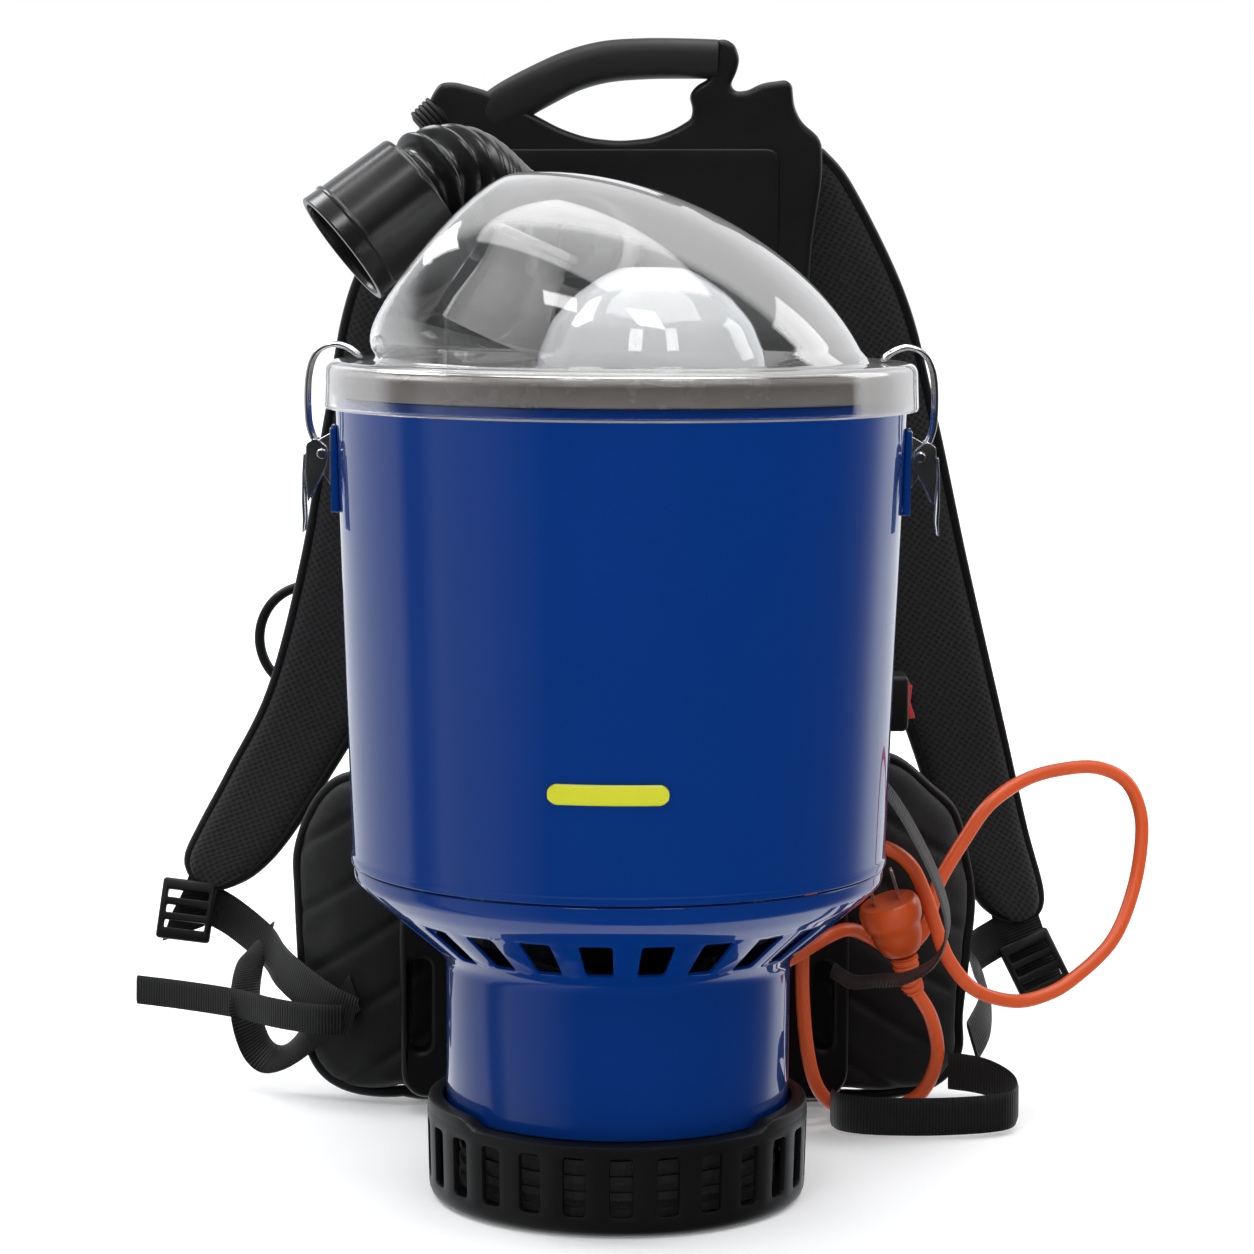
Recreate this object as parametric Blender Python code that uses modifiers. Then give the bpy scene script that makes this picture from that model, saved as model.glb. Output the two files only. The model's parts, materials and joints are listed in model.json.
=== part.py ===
"""Backpack vacuum cleaner, standing on its exhaust base.

Metres, +Z up. The origin is the centre of the base's underside, on the axis of the tank.
+Y is the wearer's side, where the back frame and the harness are, and +X is the side of the power cord.
"""

import math

import bmesh
import bpy
from mathutils import Matrix, Vector

# Driving dimensions
GAP = 0.0003  # between pieces that meet
ROUND = 48  # sides of a large turned piece

BASE_R = 0.0936
BASE_H = 0.0450
BASE_PAD_H = 0.0495
BASE_FILLET = 0.006
BASE_WALL = 0.003
FILTER_CENTRE = (0.0145, -0.0120)
BASE_SLOTS = 26
BASE_SLOT_WIDTH = 0.011
BASE_SLOT_Z = (0.0106, 0.0390)

NECK_R = 0.0843
NECK_BOTTOM_Z = 0.0475
NECK_TOP_Z = 0.1159
CONE_TOP_Z = 0.1492
CONE_TOP_R = 0.1194
SEAM_Z = 0.1657
VENT_SLOTS = 24
VENT_SLOT_WIDTH = 0.0145
VENT_SLOT_Z = (0.1240, 0.1450)
VENT_FIRST_DEG = -95.2

TANK_R = 0.1295
TANK_TOP_R = 0.1379
TANK_TOP_Z = 0.3925
TANK_WALL = 0.0015

RIM_R = 0.1434
RIM_BOTTOM_Z = 0.3868
RIM_TOP_Z = 0.4095
LID_WALL = 0.003

DOME_BASE_Z = 0.4085
DOME_R = 0.1185
DOME_RISE = 0.0915
DOME_LEAN = 0.038
PORT_CENTRE = Vector((-0.0212, 0.0518, 0.4666))
PORT_AXIS = Vector((0.218, 0.976, 0.002)).normalized()
PORT_R = 0.0270
CHUTE_FOOT = Vector((-0.0620, 0.0290, 0.4217))
CHUTE_AXIS = Vector((0.403, 0.0, 0.915)).normalized()
HOSE_R = 0.0205
CUFF_AXIS = Vector((-0.77, -0.18, -0.62)).normalized()
HOSE_END = Vector((-0.1104, 0.0439, 0.4839))
HOSE_CREST = Vector((-0.0613, 0.1067, 0.4802))
HOSE_CREST_WAY = Vector((-0.712, -0.516, 0.476)).normalized()

FRAME_Y = 0.150
FRAME_THICK = 0.015

LATCH_PIVOT = Vector((0.1440, 0.0, 0.3643))
BAIL_PIVOT = Vector((0.1482, 0.0, 0.3698))

ROCKER_PIVOT = Vector((0.1505, 0.1600, 0.2240))
ROCKER_REST_DEG = 6

CORD_R = 0.00375
CORD_ROUTE = [
    (0.0740, 0.0946, 0.0905), (0.0798, 0.1020, 0.0908), (0.0875, 0.1090, 0.0935), (0.0985, 0.1140, 0.0990),
    (0.1100, 0.1185, 0.1050), (0.1205, 0.1270, 0.1070), (0.1310, 0.1375, 0.1020),
    (0.1446, 0.1410, 0.0945), (0.1570, 0.1430, 0.0975),
    (0.1650, 0.1480, 0.1090), (0.1700, 0.1560, 0.1260), (0.1850, 0.1640, 0.1500), (0.1990, 0.1700, 0.1680),
    (0.2200, 0.1850, 0.1790), (0.2420, 0.1960, 0.1830), (0.2598, 0.2000, 0.1830), (0.2747, 0.2020, 0.1760),
    (0.2820, 0.2000, 0.1630), (0.2836, 0.1950, 0.1462), (0.2782, 0.1850, 0.1187), (0.2652, 0.1700, 0.0933),
    (0.2428, 0.1550, 0.0755), (0.2269, 0.1480, 0.0680), (0.2094, 0.1420, 0.0660), (0.1880, 0.1340, 0.0740),
    (0.1740, 0.1290, 0.0905), (0.1670, 0.1260, 0.1080), (0.1607, 0.1230, 0.1260), (0.1530, 0.1200, 0.1420),
    (0.1407, 0.1180, 0.1515), (0.1250, 0.1220, 0.1530), (0.1090, 0.1280, 0.1430), (0.0990, 0.1320, 0.1200),
    (0.0970, 0.1320, 0.0850), (0.0990, 0.1310, 0.0500), (0.1040, 0.1330, 0.0250), (0.1130, 0.1400, 0.0110),
    (0.1250, 0.1490, 0.0050), (0.1380, 0.1550, 0.0040), (0.1520, 0.1550, 0.0060), (0.1640, 0.1480, 0.0170),
    (0.1695, 0.1380, 0.0380), (0.1650, 0.1270, 0.0600), (0.1560, 0.1180, 0.0760),
]
RELIEF_ROUTE = [(0.1557, 0.1177, 0.0765), (0.1520, 0.1150, 0.0840), (0.1490, 0.1130, 0.0960)]
PLUG_AXIS = Vector((-0.30, -0.16, 0.94)).normalized()
PLUG_FOOT = Vector((0.1486, 0.1127, 0.0976))

STRAP_THICK = 0.0016

# Colours
BLUE = (0.004, 0.034, 0.235)
BLACK = (0.012, 0.012, 0.013)
GREY = (0.33, 0.30, 0.28)
ORANGE = (0.80, 0.10, 0.02)


def clear_scene():
    for thing in list(bpy.data.objects):
        bpy.data.objects.remove(thing)


def named_collection(name):
    made = bpy.data.collections.new(name)
    bpy.context.scene.collection.children.link(made)
    return made


def material(name, colour, roughness, metallic=0.0, transmission=0.0):
    made = bpy.data.materials.new(name)
    made.use_nodes = True
    shader = made.node_tree.nodes["Principled BSDF"]
    shader.inputs["Base Color"].default_value = (*colour, 1.0)
    shader.inputs["Roughness"].default_value = roughness
    shader.inputs["Metallic"].default_value = metallic
    shader.inputs["Transmission Weight"].default_value = transmission
    return made


def add(name, data, finish):
    made = bpy.data.objects.new(name, data)
    PARTS.objects.link(made)
    made.data.materials.clear()
    made.data.materials.append(finish)
    return made


def baked(thing, smooth_deg=35):
    """The object with its modifiers and curves turned into one welded mesh, faces outward."""
    graph = bpy.context.evaluated_depsgraph_get()
    graph.update()
    mesh = bpy.data.meshes.new_from_object(thing.evaluated_get(graph))
    work = bmesh.new()
    work.from_mesh(mesh)
    bmesh.ops.remove_doubles(work, verts=work.verts, dist=0.000002)
    bmesh.ops.recalc_face_normals(work, faces=work.faces)
    work.to_mesh(mesh)
    work.free()
    mesh.shade_smooth()
    mesh.set_sharp_from_angle(angle=math.radians(smooth_deg))
    finish = thing.data.materials[0]
    name, place = thing.name, thing.matrix_world.copy()
    bpy.data.objects.remove(thing)
    made = bpy.data.objects.new(name, mesh)
    PARTS.objects.link(made)
    made.matrix_world = place
    mesh.materials.clear()
    mesh.materials.append(finish)
    return made


def boolean(thing, other, operation="DIFFERENCE"):
    """thing cut by, or joined to, other, which is then removed."""
    bpy.context.view_layer.update()
    change = thing.modifiers.new(operation.lower(), "BOOLEAN")
    change.operation = operation
    change.object = other
    made = baked(thing)
    bpy.data.objects.remove(other)
    return made


def turned(name, profile, finish, segments=ROUND, centre=(0, 0, 0), axis=(0, 0, 1)):
    """A solid turned from (radius, height) points. A profile off the axis is closed into a ring."""
    mesh = bpy.data.meshes.new(name)
    ring = all(radius > 1e-6 for radius, _ in profile)
    edges = [(i, i + 1) for i in range(len(profile) - 1)]
    if ring:
        edges.append((len(profile) - 1, 0))
    mesh.from_pydata([(radius, 0.0, height) for radius, height in profile], edges, [])
    made = add(name, mesh, finish)
    screw = made.modifiers.new("turn", "SCREW")
    screw.steps = screw.render_steps = segments
    screw.use_merge_vertices = True
    screw.merge_threshold = 0.00001
    made = baked(made)
    made.matrix_world = placed(centre, axis)
    return made


def placed(centre, axis):
    turn = Vector((0, 0, 1)).rotation_difference(Vector(axis)).to_matrix().to_4x4()
    return Matrix.Translation(Vector(centre)) @ turn


def box(name, size, centre, finish, bevel=0.0, turn=None):
    mesh = bpy.data.meshes.new(name)
    work = bmesh.new()
    bmesh.ops.create_cube(work, size=1.0)
    bmesh.ops.scale(work, verts=work.verts, vec=size)
    work.to_mesh(mesh)
    work.free()
    made = add(name, mesh, finish)
    if bevel:
        edge = made.modifiers.new("round", "BEVEL")
        edge.width = bevel
        edge.segments = 2
    made = baked(made)
    made.matrix_world = Matrix.Translation(Vector(centre)) @ (turn.to_4x4() if turn else Matrix())
    return made


def cylinder(name, radius, length, centre, axis, finish, segments=24):
    half = length / 2
    profile = [(0, half), (radius, half), (radius, -half), (0, -half)]
    return turned(name, profile, finish, segments, centre, axis)


def smooth_path(points, steps, closed=False):
    """Catmull-Rom points through a route."""
    route = [Vector(point) for point in points]
    count = len(route)
    spans = count if closed else count - 1
    found = []
    for i in range(spans):
        if closed:
            four = [route[(i + k - 1) % count] for k in range(4)]
        else:
            four = [route[min(max(i + k - 1, 0), count - 1)] for k in range(4)]
        before, start, end, after = four
        for k in range(steps):
            t = k / steps
            found.append(
                0.5 * (2 * start + (end - before) * t
                       + (2 * before - 5 * start + 4 * end - after) * t * t
                       + (3 * start - before - 3 * end + after) * t ** 3)
            )
    if not closed:
        found.append(route[-1])
    return found


def even_path(points, spacing):
    """Points a set distance apart along a smooth route."""
    fine = smooth_path(points, 24)
    lengths = [0.0]
    for a, b in zip(fine, fine[1:]):
        lengths.append(lengths[-1] + (b - a).length)
    count = max(2, round(lengths[-1] / spacing))
    found, place = [], 0
    for i in range(count + 1):
        target = lengths[-1] * i / count
        while place < len(fine) - 2 and lengths[place + 1] < target:
            place += 1
        part = (target - lengths[place]) / (lengths[place + 1] - lengths[place])
        found.append(fine[place].lerp(fine[place + 1], part))
    return found


def bezier(start, leave, arrive, end, steps):
    """Points along one cubic curve."""
    found = []
    for i in range(steps + 1):
        t = i / steps
        first = start * (1 - t) ** 3 + leave * (3 * t * (1 - t) ** 2)
        found.append(first + arrive * (3 * t * t * (1 - t)) + end * t ** 3)
    return found


def tube(name, points, radius, finish, resolution=2, radii=None):
    """A round bar along points. radii scales it at each point."""
    data = bpy.data.curves.new(name, "CURVE")
    data.dimensions = "3D"
    data.bevel_depth = radius
    data.bevel_resolution = resolution
    data.use_fill_caps = True
    spline = data.splines.new("POLY")
    spline.points.add(len(points) - 1)
    for i, point in enumerate(points):
        spline.points[i].co = (*point, 1.0)
        spline.points[i].radius = radii[i] if radii else 1.0
    return baked(add(name, data, finish))


def flat_outline(name, loops, thick, centre_y, finish, bevel=0.0):
    """A flat piece from closed (x, z) loops, the first outside and the others holes."""
    data = bpy.data.curves.new(name, "CURVE")
    data.dimensions = "2D"
    data.fill_mode = "BOTH"
    data.extrude = thick / 2 - bevel
    data.bevel_depth = bevel
    data.offset = -bevel
    data.bevel_resolution = 1
    for loop in loops:
        spline = data.splines.new("POLY")
        spline.points.add(len(loop) - 1)
        for i, (x, z) in enumerate(loop):
            spline.points[i].co = (x, z, 0.0, 1.0)
        spline.use_cyclic_u = True
    made = baked(add(name, data, finish))
    made.matrix_world = Matrix.Translation((0, centre_y, 0)) @ Matrix.Rotation(math.pi / 2, 4, "X")
    return made


def strap(name, pairs, thick, finish, steps=3, closed=False):
    """A flat band between two edges, given as pairs of points, one on each edge."""
    left = smooth_path([pair[0] for pair in pairs], steps, closed)
    right = smooth_path([pair[1] for pair in pairs], steps, closed)
    count = len(left)
    mesh = bpy.data.meshes.new(name)
    last = count if closed else count - 1
    faces = [(i, (i + 1) % count, count + (i + 1) % count, count + i) for i in range(last)]
    mesh.from_pydata(left + right, [], faces)
    made = add(name, mesh, finish)
    shell = made.modifiers.new("thickness", "SOLIDIFY")
    shell.thickness = thick
    shell.offset = 0
    return baked(made, smooth_deg=50)


def band(centres, width, across):
    """Edge pairs of a band of even width. across is its width's direction at each centre."""
    pairs = []
    for centre, way in zip(centres, across):
        half = Vector(way).normalized() * width / 2
        pairs.append((Vector(centre) - half, Vector(centre) + half))
    return pairs


def side_name(side):
    return "right" if side > 0 else "left"


# Base and motor housing


def radial_slots(count, width, radius, z_low, z_high, first_deg):
    """Upright boxes in a ring, the cutter for a row of slots."""
    mesh = bpy.data.meshes.new("slots")
    work = bmesh.new()
    for i in range(count):
        turn = Matrix.Rotation(math.radians(first_deg + 360 * i / count), 4, "Z")
        size = Matrix.Diagonal((0.05, width, z_high - z_low, 1))
        shift = Matrix.Translation((radius, 0, (z_low + z_high) / 2))
        bmesh.ops.create_cube(work, size=1.0, matrix=turn @ shift @ size)
    work.to_mesh(mesh)
    work.free()
    return add("slots", mesh, BLACK_PLASTIC)


def make_base():
    outer = BASE_R - 0.0012
    profile = [
        (0, BASE_WALL), (BASE_R - BASE_WALL, BASE_WALL), (BASE_R - BASE_WALL, BASE_H - BASE_WALL),
        (0.070, BASE_H - BASE_WALL), (0.070, BASE_H - GAP), (NECK_R + 0.0012, BASE_H - GAP),
        (NECK_R + 0.0012, BASE_PAD_H), (BASE_R - 0.0022, BASE_PAD_H), (BASE_R, BASE_PAD_H - 0.0022),
        (outer, BASE_FILLET), (outer - 0.0018, 0.0018), (outer - BASE_FILLET, 0), (0, 0),
    ]
    ring = turned("base_ring", profile, BLACK_PLASTIC, BASE_SLOTS * 2)
    step = [(-0.0665, BASE_H), (0.0665, BASE_H), (0.0765, BASE_PAD_H + 0.001), (-0.0765, BASE_PAD_H + 0.001)]
    ring = boolean(ring, flat_outline("step", [step], 0.3, 0.0, BLACK_PLASTIC))
    slots = radial_slots(BASE_SLOTS, BASE_SLOT_WIDTH, BASE_R + 0.010, *BASE_SLOT_Z, -88.5)
    boolean(ring, slots)


def make_exhaust_filter():
    """A ribbed cartridge inside the base."""
    ribs, low, high = 5, BASE_WALL + GAP, BASE_H - BASE_WALL - GAP
    pitch = (high - low) / ribs
    profile = []
    for i in range(ribs, 0, -1):
        top = low + pitch * i
        profile += [(0.0780, top), (0.0780, top - pitch / 2), (0.0755, top - pitch / 2)]
        if i > 1:
            profile.append((0.0755, top - pitch))
    profile += [(0.0755, low), (0.060, low), (0.060, high)]
    turned("exhaust_filter", profile, FILTER, 24)


def housing_profile(inset):
    """The motor housing's outline from its seam with the tank down to the foot of the neck."""
    return [
        (TANK_R - inset, SEAM_Z - GAP), (TANK_R - 0.0004 - inset, 0.1590), (TANK_R - 0.0026 - inset, 0.1540),
        (CONE_TOP_R + 0.0030 - inset, 0.1508), (CONE_TOP_R - inset, CONE_TOP_Z - inset * 0.5),
        (NECK_R + 0.0040 - inset, NECK_TOP_Z + 0.0030 - inset * 0.5),
        (NECK_R + 0.0006 - inset, NECK_TOP_Z - 0.0020 - inset),
    ]


def make_motor_housing():
    wall = 0.002
    outer = housing_profile(0.0) + [(NECK_R, NECK_BOTTOM_Z + 0.002), (NECK_R - 0.0010, BASE_H + GAP)]
    foot = [(0.0620, BASE_H + GAP), (0.0620, BASE_H + 0.0022)]
    inner = [(NECK_R - wall, BASE_H + 0.0022)] + housing_profile(wall)[::-1]
    housing = turned("motor_housing", outer + foot + inner, BLUE_PAINT, ROUND)
    slots = radial_slots(VENT_SLOTS, VENT_SLOT_WIDTH, 0.112, *VENT_SLOT_Z, VENT_FIRST_DEG)
    boolean(housing, slots)


def make_motor():
    """Motor, fan and their seals, inside the housing, from the deck down."""
    turned("motor_deck", [(0.035, 0.1730), (0.1265, 0.1730), (0.1265, 0.1703), (0.035, 0.1703)], STEEL, 40)
    turned("motor_filter", [(0.030, 0.1860), (0.062, 0.1860), (0.062, 0.1733), (0.030, 0.1733)], FILTER, 24)
    turned("motor_gasket", [(0.062, 0.1700), (0.074, 0.1700), (0.074, 0.1673), (0.062, 0.1673)], RUBBER, 24)
    shroud = [
        (0.036, 0.1670), (0.075, 0.1670), (0.075, 0.1290), (0.050, 0.1250), (0.050, 0.1270),
        (0.0730, 0.1308), (0.0730, 0.1650), (0.036, 0.1650),
    ]
    turned("fan_shroud", shroud, STEEL, 24)
    fan = turned(
        "impeller",
        [(0.0046, 0.1590), (0.012, 0.1590), (0.012, 0.1430), (0.0680, 0.1430), (0.0680, 0.1410),
         (0.0046, 0.1410)],
        ALUMINIUM, 24,
    )
    for i in range(8):
        turn = Matrix.Rotation(math.radians(45 * i), 3, "Z")
        blade = box("blade", (0.054, 0.0016, 0.0150), turn @ Vector((0.038, 0.0, 0.1500)), ALUMINIUM, 0,
                    turn @ Matrix.Rotation(math.radians(24), 3, "Z"))
        fan = boolean(fan, blade, "UNION")
    shell = [
        (0.012, 0.1220), (0.046, 0.1220), (0.048, 0.1200), (0.048, 0.0640), (0.046, 0.0620), (0.012, 0.0620),
        (0.012, 0.0640), (0.0455, 0.0640), (0.0455, 0.1200), (0.012, 0.1200),
    ]
    turned("motor_shell", shell, STEEL, 24)
    turned("motor_mount", [(0.030, 0.0617), (0.054, 0.0617), (0.0815, 0.0520), (0.0815, 0.0478),
                           (0.030, 0.0478)],
           RUBBER, 24)
    for name, low in (("bearing_upper", 0.1130), ("bearing_lower", 0.0643)):
        turned(name, [(0.0043, low + 0.006), (0.011, low + 0.006), (0.011, low), (0.0043, low)], STEEL, 16)
    cylinder("rotor_shaft", 0.0040, 0.1030, (0, 0, 0.1090), (0, 0, 1), STEEL, 16)
    turned("armature", [(0.0043, 0.1100), (0.030, 0.1100), (0.030, 0.0740), (0.0043, 0.0740)], COPPER, 20)


# Tank, bag and lid


def tank_radius(z):
    low, foot = SEAM_Z + GAP + 0.004, TANK_R + 0.0006
    return foot + (TANK_TOP_R - foot) * (z - low) / (TANK_TOP_Z - low)


def make_tank():
    wall, lip = TANK_WALL, 0.126
    bottom = SEAM_Z + GAP
    profile = [
        (lip, TANK_TOP_Z), (TANK_TOP_R, TANK_TOP_Z), (TANK_R + 0.0006, bottom + 0.004),
        (TANK_R + 0.0006, bottom + 0.0006),
        (TANK_R, bottom), (0.110, bottom), (0.110, bottom + 0.0025),
        (TANK_R - wall, bottom + 0.0025), (TANK_TOP_R - wall, TANK_TOP_Z - 0.002), (lip, TANK_TOP_Z - 0.002),
    ]
    turned("tank", profile, BLUE_PAINT, ROUND)


def make_badge():
    """A plain rounded bar on the tank's front."""
    left, right, middle, radius = -0.0280, 0.0185, 0.2175, 0.0046
    loop = []
    for i in range(7):
        angle = math.radians(-90 + 30 * i)
        loop.append((right + radius * math.cos(angle), middle + radius * math.sin(angle)))
    for i in range(7):
        angle = math.radians(90 + 30 * i)
        loop.append((left + radius * math.cos(angle), middle + radius * math.sin(angle)))
    bar = flat_outline("badge", [loop], 0.012, -tank_radius(0.2175) - 0.002, BADGE)
    skin = turned("skin", [(0.10, 0.23), (tank_radius(0.23) + 0.0018, 0.23),
                           (tank_radius(0.20) + 0.0018, 0.20),
                           (0.10, 0.20)], BADGE, 112)
    hollow = turned("hollow", [(0, 0.24), (tank_radius(0.24) + GAP, 0.24),
                               (tank_radius(0.19) + GAP, 0.19), (0, 0.19)],
                    BADGE, 112)
    bar = boolean(bar, skin, "INTERSECT")
    boolean(bar, hollow)


def make_bag():
    """A cloth dust bag hung from a plate at the tank's mouth."""
    outer = [(0, 0.3770), (0.070, 0.3770), (0.106, 0.3560), (0.112, 0.3000), (0.104, 0.2350),
             (0.070, 0.2020), (0, 0.1960)]
    inner = [(0, 0.3745), (0.069, 0.3745), (0.1035, 0.3545), (0.1095, 0.3000), (0.1015, 0.2365),
             (0.069, 0.2045), (0, 0.1985)]
    bag = turned("dust_bag", outer, CLOTH, 24)
    bag = boolean(bag, turned("bag_inside", inner, CLOTH, 24))
    boolean(bag, cylinder("mouth", 0.0200, 0.020, (CHUTE_FOOT.x, CHUTE_FOOT.y, 0.3760), (0, 0, 1), CLOTH, 16))


def make_bag_plate():
    """The plate that closes the tank round the inlet, with a raised socket for the tube."""
    low = TANK_TOP_Z + GAP
    plate = turned("bag_plate", [(0, low + 0.003), (0.1325, low + 0.003), (0.1325, low), (0, low)], CLEAR, 40)
    foot = Vector((CHUTE_FOOT.x, CHUTE_FOOT.y, 0))
    plate = boolean(plate, cylinder("boss", 0.0292, 0.0200, foot + Vector((0, 0, low + 0.0100)),
                                    (0, 0, 1), CLEAR), "UNION")
    plate = boolean(plate, cylinder("neck", 0.0185, 0.0200, foot + Vector((0, 0, low - 0.0080)),
                                    (0, 0, 1), CLEAR), "UNION")
    plate = boolean(plate, cylinder("bore", 0.0165, 0.080, foot + Vector((0, 0, low)), (0, 0, 1), CLEAR))
    boolean(plate, cylinder("way", 0.040, 0.010, (*FILTER_CENTRE, low), (0, 0, 1), CLEAR))


def dome_solid(name, inset, low):
    """The lid's leaning dome as a solid, cut flat on the side of the hose."""
    rows, columns = 6, 32
    work = bmesh.new()
    rings = []
    for i in range(rows):
        lift = math.radians(90 * i / rows)
        radius = (DOME_R - inset) * math.cos(lift)
        rise = (DOME_RISE - inset) * math.sin(lift)
        ring = []
        for k in range(columns):
            turn = 2 * math.pi * k / columns
            x = radius * math.cos(turn) - DOME_LEAN * math.sin(lift)
            ring.append(work.verts.new((x, radius * math.sin(turn), DOME_BASE_Z + rise)))
        rings.append(ring)
    foot = [work.verts.new((v.co.x, v.co.y, low)) for v in rings[0]]
    rings.insert(0, foot)
    for lower, upper in zip(rings, rings[1:]):
        for k in range(columns):
            nxt = (k + 1) % columns
            work.faces.new((lower[k], lower[nxt], upper[nxt], upper[k]))
    work.faces.new(foot[::-1])
    top = work.verts.new((-DOME_LEAN, 0, DOME_BASE_Z + DOME_RISE - inset))
    for k in range(columns):
        work.faces.new((rings[-1][k], rings[-1][(k + 1) % columns], top))
    flats = [(Vector((-0.773, 0.10, 0.634)), Vector((-0.0905, 0.0, 0.4570))),
             (Vector((0.15, 0.85, 0.50)), PORT_CENTRE)]
    for normal, point in flats:
        normal.normalize()
        cut = bmesh.ops.bisect_plane(work, geom=work.verts[:] + work.edges[:] + work.faces[:],
                                     plane_co=point - normal * inset, plane_no=normal, clear_outer=True)
        rim = [item for item in cut["geom_cut"] if isinstance(item, bmesh.types.BMEdge)]
        bmesh.ops.contextual_create(work, geom=rim)
    mesh = bpy.data.meshes.new(name)
    work.to_mesh(mesh)
    work.free()
    return baked(add(name, mesh, CLEAR))


def make_lid():
    """Clear dome, rim flange and skirt in one moulding, with a port for the hose."""
    top, low = RIM_TOP_Z, RIM_BOTTOM_Z
    rim = [
        (0.1150, top - 0.0004), (RIM_R - 0.0060, top), (RIM_R - 0.0022, top - 0.0012),
        (RIM_R - 0.0006, top - 0.0045),
        (RIM_R, low + 0.001), (RIM_R - 0.0007, low), (RIM_R - 0.0030, low), (RIM_R - 0.0030, top - 0.0060),
        (RIM_R - 0.0055, top - LID_WALL), (0.1150, top - LID_WALL),
    ]
    lid = turned("lid", rim, CLEAR, ROUND)
    lid = boolean(lid, dome_solid("dome", 0.0, top - LID_WALL + 0.0002), "UNION")
    lid = boolean(lid, dome_solid("dome_inside", LID_WALL, top - 0.02))
    boss = cylinder("boss", PORT_R, 0.0260, PORT_CENTRE + PORT_AXIS * 0.0070, PORT_AXIS, CLEAR, 24)
    lid = boolean(lid, boss, "UNION")
    hole = cylinder("hole", PORT_R - LID_WALL, 0.060, PORT_CENTRE, PORT_AXIS, CLEAR, 24)
    boolean(lid, hole)
    seal_low = TANK_TOP_Z + GAP
    seal = [(0.1335, top - LID_WALL - GAP), (RIM_R - 0.0065, top - LID_WALL - GAP),
            (RIM_R - 0.0035, top - 0.0062),
            (RIM_R - 0.0035, seal_low), (0.1335, seal_low)]
    turned("lid_gasket", seal, SEAL, ROUND)


def make_inlet():
    """Clear tube from the port down to its socket in the bag plate."""
    length = 0.0510
    chute = [(0, length), (0.0218, length), (0.0218, length - 0.004), (0.0205, length - 0.004),
             (0.0205, 0), (0, 0)]
    tube_body = turned("inlet_tube", chute, CLEAR, 24, CHUTE_FOOT, CHUTE_AXIS)
    inner = PORT_CENTRE - PORT_AXIS * 0.0010
    spout = cylinder("spout", 0.0175, 0.0300, inner - PORT_AXIS * 0.0150, PORT_AXIS, CLEAR, 20)
    tube_body = boolean(tube_body, spout, "UNION")
    bore = cylinder("bore", 0.0182, 0.070, CHUTE_FOOT + CHUTE_AXIS * 0.0165, CHUTE_AXIS, CLEAR, 20)
    tube_body = boolean(tube_body, bore)
    spout_bore = cylinder("spout_bore", 0.0155, 0.0380, inner - PORT_AXIS * 0.0090, PORT_AXIS, CLEAR, 20)
    boolean(tube_body, spout_bore)
    low = TANK_TOP_Z + GAP + 0.003 + GAP
    cap = [
        (0, 0.4550), (0.012, 0.4550), (0.020, 0.4535), (0.024, 0.4490), (0.035, 0.4430), (0.048, 0.4290),
        (0.0545, 0.4130),
        (0.0560, 0.3990), (0.0575, low), (0.0540, low), (0.0523, 0.4130), (0.0460, 0.4280), (0.0335, 0.4412),
        (0.0225, 0.4470), (0.0185, 0.4515), (0, 0.4530),
    ]
    turned("filter_dome", cap, CLEAR, 24, (*FILTER_CENTRE, 0))


def make_hose():
    """Corrugated hose from the port to the cuff, with the ring that holds it in the port."""
    out = PORT_CENTRE + PORT_AXIS * 0.0203
    ring = [(0.0160, 0.0060), (0.0290, 0.0060), (0.0290, 0.0000), (0.0160, 0.0000)]
    turned("port_ring", ring, BLACK_PLASTIC, 24, out, PORT_AXIS)
    start = out + PORT_AXIS * 0.0066
    plug_in = HOSE_END - CUFF_AXIS * 0.0070
    leave = start + PORT_AXIS * 0.0040
    first = bezier(leave, leave + PORT_AXIS * 0.0226, HOSE_CREST - HOSE_CREST_WAY * 0.0278, HOSE_CREST, 12)
    second = bezier(HOSE_CREST, HOSE_CREST + HOSE_CREST_WAY * 0.0198, plug_in - CUFF_AXIS * 0.0334,
                    plug_in, 12)
    route = [start] + first + second[1:] + [HOSE_END]
    path = even_path(route, 0.0040)
    radii = []
    for i in range(len(path)):
        plain = i < 2 or i > len(path) - 4
        radii.append(1.0 if plain or i % 3 == 0 else 0.86)
    outside = tube("hose_corrugated", path, HOSE_R, RUBBER, 2, radii)
    inside = tube("hose_bore", [path[0] - PORT_AXIS * 0.01, *path[::3], path[-1] + CUFF_AXIS * 0.01],
                  0.0150, RUBBER, 2)
    boolean(outside, inside)
    cuff = [
        (0.0212, 0.0), (0.0288, 0.0), (0.0290, 0.0008), (0.0302, 0.0300), (0.0314, 0.0302), (0.0314, 0.0318),
        (0.0304, 0.0320), (0.0310, 0.0410), (0.0272, 0.0410), (0.0262, 0.0085), (0.0212, 0.0060),
    ]
    turned("hose_cuff", cuff, BLACK_GLOSS, 32, HOSE_END - CUFF_AXIS * 0.0050, CUFF_AXIS)


# Latches


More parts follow.
